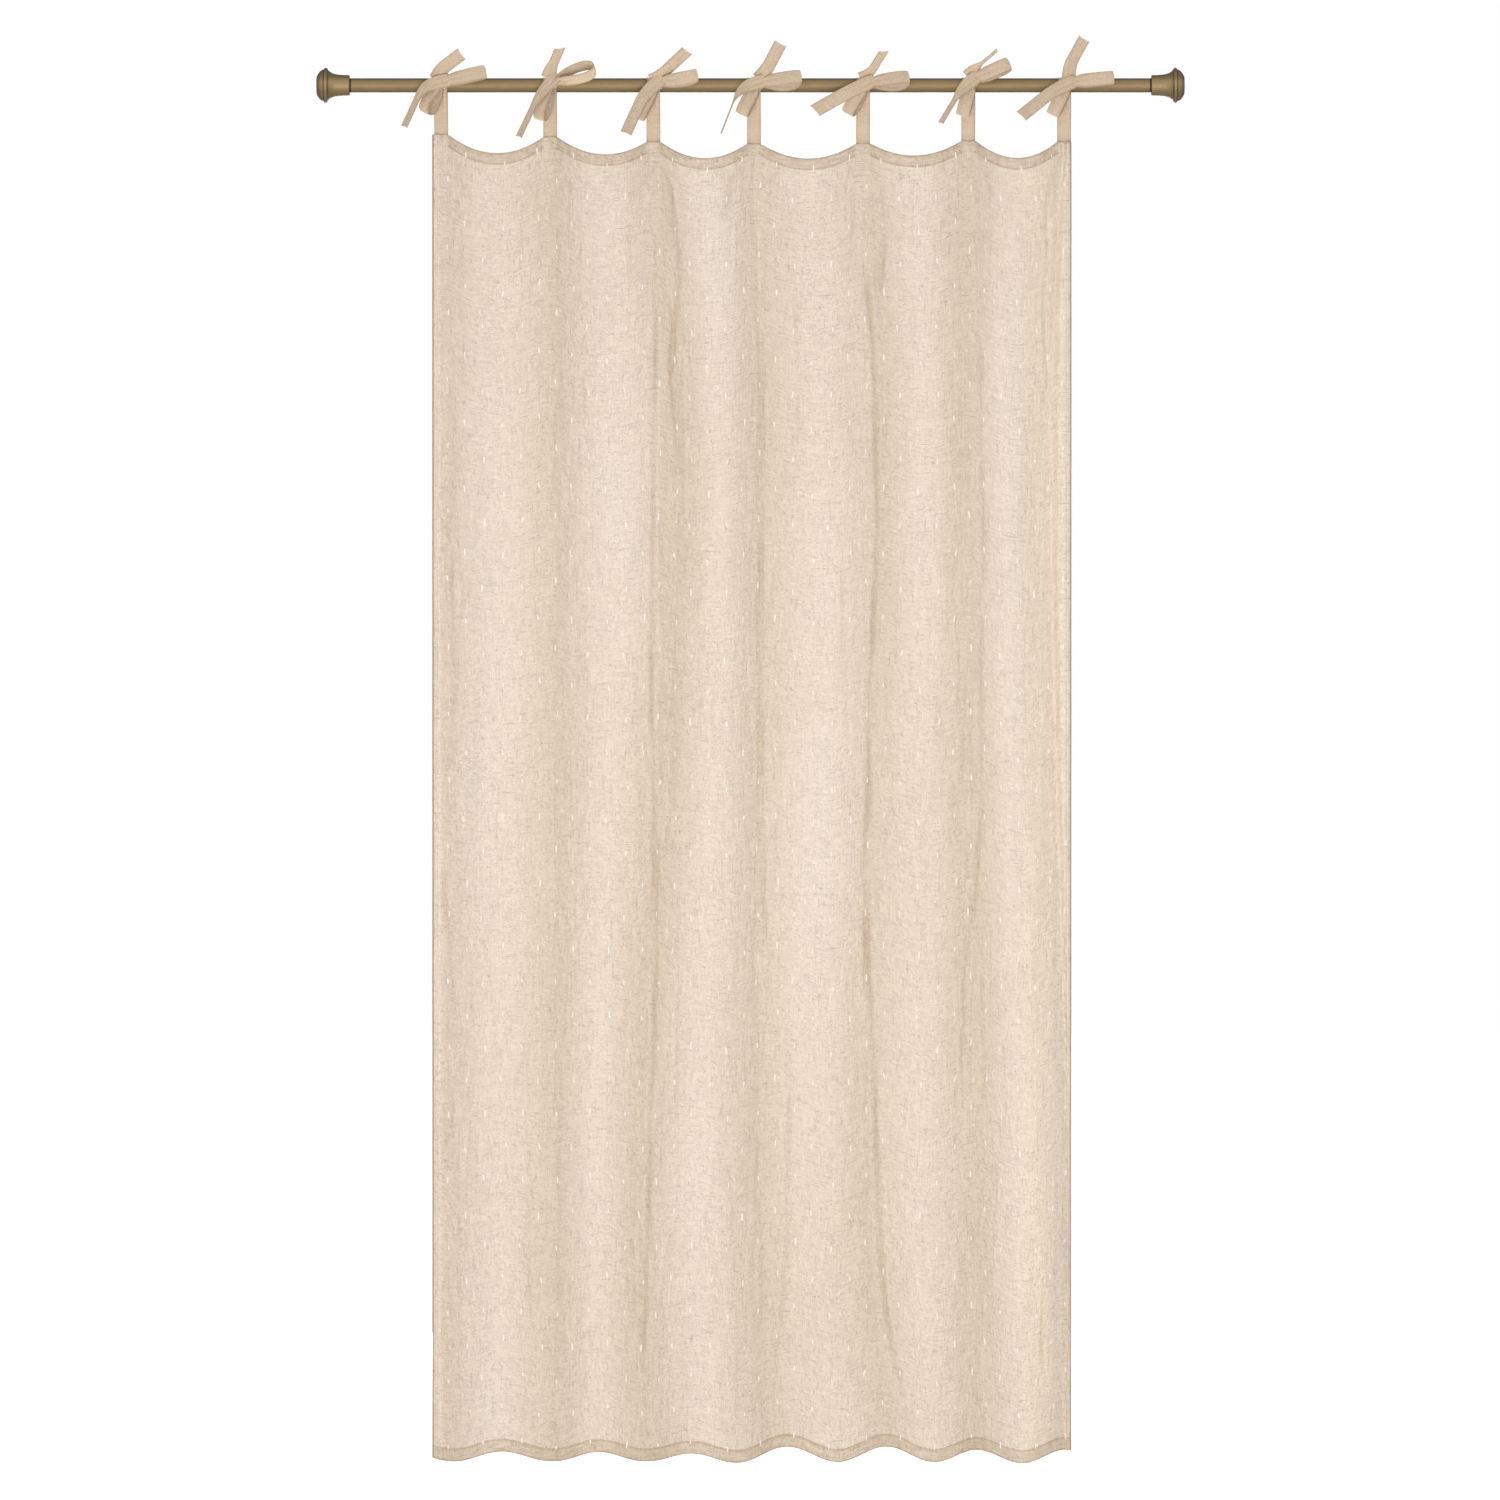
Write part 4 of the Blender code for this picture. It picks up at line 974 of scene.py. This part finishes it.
def lay_threads(name, tree, points, along, front, material, sizes):
    """A plain mesh of threads laid by the tree on these points."""
    mesh = bpy.data.meshes.new(name)
    mesh.from_pydata(points.tolist(), [], [])
    for label, field in (("along", along), ("front", front)):
        attribute = mesh.attributes.new(label, "FLOAT_VECTOR", "POINT")
        attribute.data.foreach_set("vector", field.astype(np.float32).ravel())
    maker = bpy.data.objects.new(f"{name}_points", mesh)
    bpy.context.scene.collection.objects.link(maker)
    modifier = maker.modifiers.new("threads", "NODES")
    modifier.node_group = tree
    sockets = {item.name: item.identifier for item in tree.interface.items_tree
               if item.in_out == "INPUT"}
    modifier[sockets["Material"]] = material
    for label, value in sizes.items():
        modifier[sockets[label]] = value
    graph = bpy.context.evaluated_depsgraph_get()
    result = bpy.data.meshes.new_from_object(maker.evaluated_get(graph))
    result.name = name
    maker.modifiers.clear()
    bpy.data.objects.remove(maker, do_unlink=True)
    return result


def unit(vectors):
    return vectors / np.linalg.norm(vectors, axis=-1, keepdims=True)


def woven_dashes(surface, tree, material):
    """Short white threads floated over the cloth in staggered rows."""
    random = np.random.default_rng(DASH_SEED)
    places = [(u, DASH_FIRST_ROW + row * DASH_PITCH_DOWN)
              for row in range(int(CLOTH_LENGTH / DASH_PITCH_DOWN) + 1)
              for u in np.arange(DASH_PITCH_ACROSS * DASH_STAGGER[row % 2],
                                 FLAT_WIDTH - DASH_MARGIN, DASH_PITCH_ACROSS)]
    u, v = (part + random.normal(0.0, DASH_JITTER, len(part)) for part in np.array(places).T)
    inside = ((v > DASH_MARGIN) & (v < CLOTH_LENGTH - DASH_FOOT_MARGIN)
              & (u > DASH_MARGIN) & (u < FLAT_WIDTH - DASH_MARGIN))
    point, _, down, front, _ = surface.at(u[inside], v[inside])
    mesh = lay_threads("woven_dashes", tree, point + front * DASH_LIFT, unit(down), front,
                       material, DASH_SIZES)
    return finished("woven_dashes", mesh, None)


def hem_stitching(surface, tree, material, seats):
    """A line of stitches along each hem, and a box of them through each tape's sewn end."""
    points, along, front = [], [], []
    for level, run, edges in (
            (True, FLAT_WIDTH, (TOP_HEM - STITCH_INSET, CLOTH_LENGTH - FOOT_HEM + STITCH_INSET)),
            (False, CLOTH_LENGTH, (SIDE_HEM - STITCH_INSET, FLAT_WIDTH - SIDE_HEM + STITCH_INSET))):
        places = np.arange(STITCH_PITCH, run - STITCH_PITCH, STITCH_PITCH)
        for edge in edges:
            line = places, np.full_like(places, edge)
            point, to_right, to_foot, facing, _ = surface.at(*(line if level else line[::-1]))
            points.append(point + facing * STITCH_LIFT)
            along.append(unit(to_right if level else to_foot))
            front.append(facing)
    half = TAPE_WIDTH / 2 - STITCH_BOX_SIDE
    for x, y, low, high in seats:
        corners = [(-half, low), (half, low), (half, high), (-half, high), (-half, low)]
        for (x0, z0), (x1, z1) in zip(corners[:-1], corners[1:]):
            length = math.hypot(x1 - x0, z1 - z0)
            share = (np.arange(round(length / STITCH_PITCH)) + 0.5) / round(length / STITCH_PITCH)
            points.append(np.stack([x + x0 + (x1 - x0) * share, np.full_like(share, y),
                                    z0 + (z1 - z0) * share], axis=1))
            along.append(np.tile(((x1 - x0) / length, 0.0, (z1 - z0) / length), (len(share), 1)))
            front.append(np.tile((0.0, 1.0, 0.0), (len(share), 1)))
    points, along, front = (np.concatenate(part) for part in (points, along, front))
    mesh = lay_threads("hem_stitching", tree, points, along, front, material, STITCH_SIZES)
    return finished("hem_stitching", mesh, None)


# Tapes


def direction(angle):
    return np.array((math.cos(math.radians(angle)), 0.0, math.sin(math.radians(angle))))


def turned_across(along, turn):
    turn = math.radians(turn)
    level = np.array((-along[2], 0.0, along[0]))
    level /= np.linalg.norm(level)
    return level * math.cos(turn) + np.array((0.0, -1.0, 0.0)) * math.sin(turn)


def loop_width(share):
    """A loop is gathered where it enters the knot, and opens to its full width away from it."""
    from_knot = np.minimum(share, 1 - share) * 2
    return TAPE_WIDTH * (LOOP_PINCH + (1 - LOOP_PINCH) * smooth(from_knot / PINCH_REACH))


class Tapes:
    """Gathers the strips of one tie into a single mesh."""

    def __init__(self):
        self.points, self.faces, self.uvs, self.pleats = [], [], [], []
        self.count = 0

    def strip(self, path, across, widths, gather=0.0, crown=0.0, cut=0.0, skew=0.0):
        """A closed strip of tape along a path. gather: depth of the pleats at each point. crown:
        how far its middle stands proud. cut and skew: how much further both edges of its free end
        reach, and its right-hand one alone."""
        path, across = np.asarray(path, float), unit(np.asarray(across, float))
        count = len(path)
        widths = np.broadcast_to(widths, count)
        gather = np.broadcast_to(gather, count)
        crown = np.broadcast_to(crown, count)
        tangent = unit(np.gradient(path, axis=0))
        normal = unit(np.cross(tangent, across))
        steps = np.linalg.norm(np.diff(path, axis=0), axis=1)
        along = np.concatenate([[0.0], np.cumsum(steps)])
        place = np.linspace(-0.5, 0.5, TAPE_COLUMNS)
        spread = path[:, None] + across[:, None] * (widths[:, None] * place)[..., None]
        at_end = smooth((along / along[-1] - 0.8) * 5)[:, None]
        reach = (cut * (4 * place ** 2 - 0.4) - skew * place)[None, :] * at_end
        spread = spread + tangent[:, None] * reach[..., None]
        pleats = np.cos(2 * math.pi * PLEATS * (place + 0.5) + PLEAT_PHASE)
        # How deep each point lies in the pleats' folds: the mask of painted shade in the pleats.
        pleat_shade_mask = gather[:, None] / PLEAT_DEPTH * (1 - pleats) / 2
        proud = gather[:, None] * pleats + crown[:, None] * (1 - 4 * place ** 2)
        thick = TAPE_THICKNESS / 2 * (1 - EDGE_THINNING * (2 * np.abs(place)) ** 6)
        over = spread + normal[:, None] * (proud + thick)[..., None]
        under = spread + normal[:, None] * (proud - thick)[..., None]
        size = 2 * TAPE_COLUMNS
        self.join_rings(count, size)
        for row, flip in ((0, True), (count - 1, False)):
            base = self.count + row * size
            for column in range(TAPE_COLUMNS - 1):
                quad = (base + column, base + column + 1, base + size - 2 - column,
                        base + size - 1 - column)
                self.faces.append(quad[::-1] if flip else quad)
        u = np.concatenate([place, place[::-1]])[None, :] * TAPE_WIDTH
        uvs = np.stack(np.broadcast_arrays(u, along[:, None] + self.count * 0.001), axis=-1)
        self.keep(np.concatenate([over, under[:, ::-1]], axis=1).reshape(-1, 3),
                  uvs.reshape(-1, 2), np.concatenate([pleat_shade_mask, pleat_shade_mask[:, ::-1]], axis=1).ravel())

    def join_rings(self, rings, sides):
        """The faces from ring to ring of the points that are kept next."""
        for ring in range(rings - 1):
            for side in range(sides):
                a = self.count + ring * sides + side
                b = self.count + ring * sides + (side + 1) % sides
                self.faces.append((a, b, b + sides, a + sides))

    # pleats: the mask of painted shade in the pleats, for each point.
    def keep(self, points, uvs, pleats):
        self.points.append(points)
        self.uvs.append(uvs)
        self.pleats.append(pleats)
        self.count += len(points)

    def core(self, centre, tilt):
        """The tightened cloth inside the knot."""
        along, across = direction(tilt), direction(tilt + 90)
        points, uvs = [], []
        for ring in range(KNOT_RINGS + 1):
            polar = math.pi * (ring + 0.02) / (KNOT_RINGS + 0.04)
            for side in range(KNOT_SIDES):
                around = 2 * math.pi * side / KNOT_SIDES
                ripple = 1 + 0.05 * math.sin(5 * around + 3 * polar)
                right = math.cos(polar) * KNOT_HALF_LENGTH
                up = math.sin(polar) * math.cos(around) * KNOT_HALF_WIDTH * ripple
                out = math.sin(polar) * math.sin(around) * KNOT_HALF_DEPTH * ripple
                points.append(centre + along * right + across * up + np.array((0.0, out, 0.0)))
                uvs.append((0.004 * math.sin(around), 0.03 * ring / KNOT_RINGS))
        self.join_rings(KNOT_RINGS + 1, KNOT_SIDES)
        first, last = self.count, self.count + KNOT_RINGS * KNOT_SIDES
        self.faces.append(tuple(first + side for side in reversed(range(KNOT_SIDES))))
        self.faces.append(tuple(last + side for side in range(KNOT_SIDES)))
        # The knot's core takes a fixed share of the pleats' painted shade.
        self.keep(np.array(points), np.array(uvs), np.full(len(points), 0.4))

    def mesh(self, name):
        """All strips as one mesh, pushed clear of the rod."""
        points = np.concatenate(self.points)
        from_axis = np.hypot(points[:, 1], points[:, 2])
        clear = ROD_RADIUS + GAP
        push = np.where(from_axis < clear, clear / np.maximum(from_axis, 0.0001), 1.0)
        points[:, 1:] *= push[:, None]
        mesh = mapped_mesh(name, points, self.faces, np.concatenate(self.uvs),
                           {"pleat_shade": np.concatenate(self.pleats)})
        shell = bmesh.new()
        shell.from_mesh(mesh)
        bmesh.ops.recalc_face_normals(shell, faces=shell.faces)
        shell.to_mesh(mesh)
        shell.free()
        mesh.set_sharp_from_angle(angle=math.radians(55))
        return mesh


def lay_tail(tapes, knot, tail, wrapped):
    """A loose end. A wrapped one first comes round the knot from its far side."""
    path, across = [], []
    depth = -KNOT_HALF_DEPTH if wrapped else UPPER_TAIL_SET_BACK
    point = knot + np.array((tail.root[0], depth, tail.root[1]))
    along = direction(tail.start_angle)
    for step in range(WRAP_STEPS if wrapped else 0):
        angle = math.radians(WRAP_TURN * (step / WRAP_STEPS - 1))
        aside = along * KNOT_HALF_LENGTH * WRAP_REACH * math.sin(angle)
        path.append(point + aside + (0.0, KNOT_HALF_DEPTH * (1 - math.cos(angle)), 0.0))
        across.append(turned_across(along, tail.start_turn))
    for index in range(TAIL_STEPS + 1):
        bent = float(smooth(index / TAIL_STEPS / BEND_SHARE))
        along = direction(tail.start_angle + (tail.end_angle - tail.start_angle) * bent)
        turn = tail.start_turn + (tail.end_turn - tail.start_turn) * bent
        path.append(point.copy())
        across.append(turned_across(along, turn))
        point = point + (along + (0.0, -BOW_LEAN, 0.0)) * (tail.length / TAIL_STEPS)
    far = np.linspace(0.0, 1.0, len(path))
    pressed = 0.25 if wrapped else 0.0
    gather = PLEAT_DEPTH * 0.85 * np.exp(-((far - pressed) / 0.20) ** 2)
    tapes.strip(path, across, TAPE_WIDTH, gather, TAIL_CROWN * (1 - far), TAIL_CUT, tail.skew)


def lay_loop(tapes, knot, loop):
    """A loop of tape, out from the knot and back, whose second layer hangs a little lower."""
    along = direction(loop.angle)
    across = turned_across(along, loop.turn)
    opening = np.cross(along, across)
    share = LOOP_ROOT + (1 - 2 * LOOP_ROOT) * np.linspace(0.0, 1.0, LOOP_POINTS)
    reach = loop.length * np.sin(math.pi * share)
    belly = loop.belly * np.sin(2 * math.pi * share)
    recovered = smooth((1 - share) * DROOP_RECOVERY)
    fall = loop.droop * smooth((2 * share - 1) * DROOP_ONSET * recovered)
    path = (knot + np.outer(reach, along) + np.outer(belly, opening)
            + np.outer(BOW_LEAN * reach, (0.0, -1.0, 0.0)) + np.outer(fall, -across))
    from_end = np.minimum(share, 1 - share)
    gather = PLEAT_DEPTH * np.exp(-(from_end / 0.16) ** 2)
    past_corner = np.clip((reach - loop.length + LOOP_CORNER) / LOOP_CORNER, 0.0, 1.0)
    narrower = 2 * LOOP_CORNER * (1 - np.sqrt(1 - past_corner ** 2 * 0.96))
    widths = loop_width(share) - narrower
    tapes.strip(path, np.tile(across, (len(share), 1)), widths, gather, LOOP_CROWN)


def lay_strap(tapes, x, top, back):
    """The sewn end: behind the top hem, with one layer up each side of the rod."""
    near = back + GAP + TAPE_THICKNESS / 2
    layer = TAPE_THICKNESS + 2 * GAP
    seam_foot = top - TAPE_SEAM
    above = top + TAPE_THICKNESS
    in_front, behind, round_rod = STRAP_STEPS
    line = [(-TAPE_PATH_RADIUS, -0.001), (-TAPE_PATH_RADIUS, -0.006)]
    for step in range(1, in_front):
        share = step / in_front
        line.append((-TAPE_PATH_RADIUS + (near + TAPE_PATH_RADIUS) * smooth(share),
                     -0.006 + (above + 0.006) * share))
    line += [(near, above), (near, top - TAPE_SEAM / 2), (near, seam_foot + layer / 2),
             (near + layer / 2, seam_foot), (near + layer, seam_foot + layer / 2),
             (near + layer, top - TAPE_SEAM / 2), (near + layer, above)]
    for step in range(1, behind):
        share = step / behind
        line.append((near + layer + (TAPE_PATH_RADIUS - near - layer) * smooth(share),
                     above * (1 - share)))
    for step in range(round_rod + 1):
        angle = math.radians(STRAP_ARC * step / round_rod)
        line.append((TAPE_PATH_RADIUS * math.cos(angle), TAPE_PATH_RADIUS * math.sin(angle)))
    path = np.array([(x, y, z) for y, z in line])
    near_knot = np.exp(-((path[:, 2] / 0.045) ** 2))
    widths = TAPE_WIDTH * (1 - 0.05 * near_knot)
    across = np.tile((1.0, 0.0, 0.0), (len(path), 1))
    tapes.strip(path, across, widths, PLEAT_DEPTH * near_knot)


def tape_seat(surface, index):
    """The height of the cloth's top edge at a tape, and how far back its hem reaches there."""
    u = TAPE_INSET + FLAT_PITCH * index + np.linspace(-0.5, 0.5, 7) * TAPE_WIDTH
    rows = [surface.at(u, np.full_like(u, depth))[0] for depth in (0.0, TAPE_SEAM)]
    deepest = max(row[:, 1].max() for row in rows) + 2 * TURN_RADIUS + TAPE_THICKNESS / 4
    return float(rows[0][3][2]), float(deepest)


def bow(surface, index, material):
    """One tie: sewn behind the top hem, passed round the rod and tied in a bow in front. Gives
    where its box of stitches lies: X, Y, and the foot and top of the box."""
    style = TIES[index]
    name = f"bow_{index + 1}"
    top, back = tape_seat(surface, index)
    x = TAPE_XS[index]
    knot = np.array((x + style.knot[0], KNOT_FRONT, style.knot[1]))
    tapes = Tapes()
    tapes.core(knot, (style.right_loop.angle + style.left_tail.start_angle - 180) / 2)
    lay_strap(tapes, x, top, back)
    lay_tail(tapes, knot, style.upper_tail, False)
    lay_loop(tapes, knot, style.right_loop)
    lay_loop(tapes, knot, style.lower_loop)
    lay_tail(tapes, knot, style.left_tail, True)
    finished(name, tapes.mesh(name), material, [f"tie_{index + 1}"])
    layer = TAPE_THICKNESS + 2 * GAP
    face = back + GAP + layer + TAPE_THICKNESS + 0.0001
    return x, face, top - TAPE_SEAM + STITCH_BOX_FOOT, top - STITCH_BOX_TOP


# Rod and finials


def turned_piece(name, profile, side, mouth):
    """A smooth turned solid on the rod's axis, from (radius, height) points."""
    shell = bmesh.new()
    rings = []
    for radius, height in profile:
        x = side * (mouth + height)
        turns = [2 * math.pi * step / TURNED_SIDES for step in range(TURNED_SIDES)]
        rings.append([shell.verts.new((x, radius * math.cos(turn), radius * math.sin(turn)))
                      for turn in (turns if radius else [0.0])])
    closed = len(rings[0]) > 1
    pairs = list(zip(rings[:-1], rings[1:])) + ([(rings[-1], rings[0])] if closed else [])
    for first, second in pairs:
        for step in range(TURNED_SIDES):
            after = (step + 1) % TURNED_SIDES
            if len(first) == 1:
                shell.faces.new((first[0], second[step], second[after]))
            elif len(second) == 1:
                shell.faces.new((first[step], second[0], first[after]))
            else:
                shell.faces.new((first[step], second[step], second[after], first[after]))
    bmesh.ops.recalc_face_normals(shell, faces=shell.faces)
    mesh = bpy.data.meshes.new(name)
    shell.to_mesh(mesh)
    shell.free()
    mesh.shade_smooth()
    mesh.set_sharp_from_angle(angle=math.radians(38))
    return mesh


def finial_profile():
    """As the solid's, with finer steps."""
    points = [(0.0, FINIAL_LENGTH), (TIP_RADIUS * 0.5, FINIAL_LENGTH)]
    for step in range(DOME_STEPS + 1):
        angle = math.pi / 2 * step / DOME_STEPS
        swell = math.sin(angle) ** DOME_FULLNESS
        radius = TIP_RADIUS + (DOME_RADIUS - TIP_RADIUS) * swell
        points.append((radius, FINIAL_LENGTH - DOME_DEPTH * (1 - math.cos(angle))))
    bead_height = FINIAL_LENGTH - DOME_DEPTH - BEAD_RADIUS
    for step in range(BEAD_STEPS + 1):
        angle = math.radians(BEAD_ARC / 2 - BEAD_ARC * step / BEAD_STEPS)
        radius = DOME_RADIUS - BEAD_SINK + BEAD_RADIUS * math.cos(angle)
        points.append((radius, bead_height + BEAD_RADIUS * math.sin(angle)))
    flare_top = bead_height - BEAD_RADIUS
    for step in range(FLARE_STEPS + 1):
        drop = (flare_top - LIP_RADIUS) * (step / FLARE_STEPS) ** FLARE_SHARE
        flare = (DOME_RADIUS - NECK_RADIUS) * math.exp(-drop / FLARE_FADE)
        points.append((NECK_RADIUS + flare, flare_top - drop))
    for step in range(1, LIP_STEPS + 1):
        angle = math.pi / 2 * step / LIP_STEPS
        points.append((NECK_RADIUS - LIP_RADIUS * (1 - math.cos(angle)),
                       LIP_RADIUS * (1 - math.sin(angle))))
    socket_radius = ROD_RADIUS + GAP
    points += [(socket_radius, 0.0), (socket_radius, SOCKET_DEPTH), (0.0, SOCKET_DEPTH)]
    return points


def rod_and_finials(bronze, cap_bronze, steel):
    inner = ROD_RADIUS - ROD_WALL
    outer = ROD_RADIUS - ROD_CHAMFER
    end = ROD_HALF - ROD_CHAMFER
    profile = [(outer, ROD_HALF), (ROD_RADIUS, end), (ROD_RADIUS, -end), (outer, -ROD_HALF),
               (inner, -ROD_HALF), (inner, ROD_HALF)]
    rod = turned_piece("curtain_rod", profile, 1, 0.0)
    finished("curtain_rod", rod, bronze, ["rod_tube"])
    for side, label in ((-1, "left"), (1, "right")):
        cap = turned_piece(f"end_cap_{label}", finial_profile(), side, FINIAL_MOUTH)
        finished(f"end_cap_{label}", cap, cap_bronze, [f"finial_{label}"])
        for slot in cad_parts[f"finial_screw_{label}"].material_slots:
            slot.material = steel


def main():
    studio_camera()
    studio()
    weave, tarnish = slub_weave(), patina()
    gauze, tape = cloth_material(weave), tape_material(weave)
    white_thread, seam_thread = (thread_material(*looks) for looks in THREADS)
    metals = [metal_material(tarnish, *looks) for looks in METALS]
    surface = Surface()
    panel = cloth_panel(surface, gauze)
    threads = thread_tree()
    seats = [bow(surface, index, tape) for index in range(len(TIES))]
    dashes = woven_dashes(surface, threads, white_thread)
    stitches = hem_stitching(surface, threads, seam_thread, seats)
    rod_and_finials(*metals)


main()
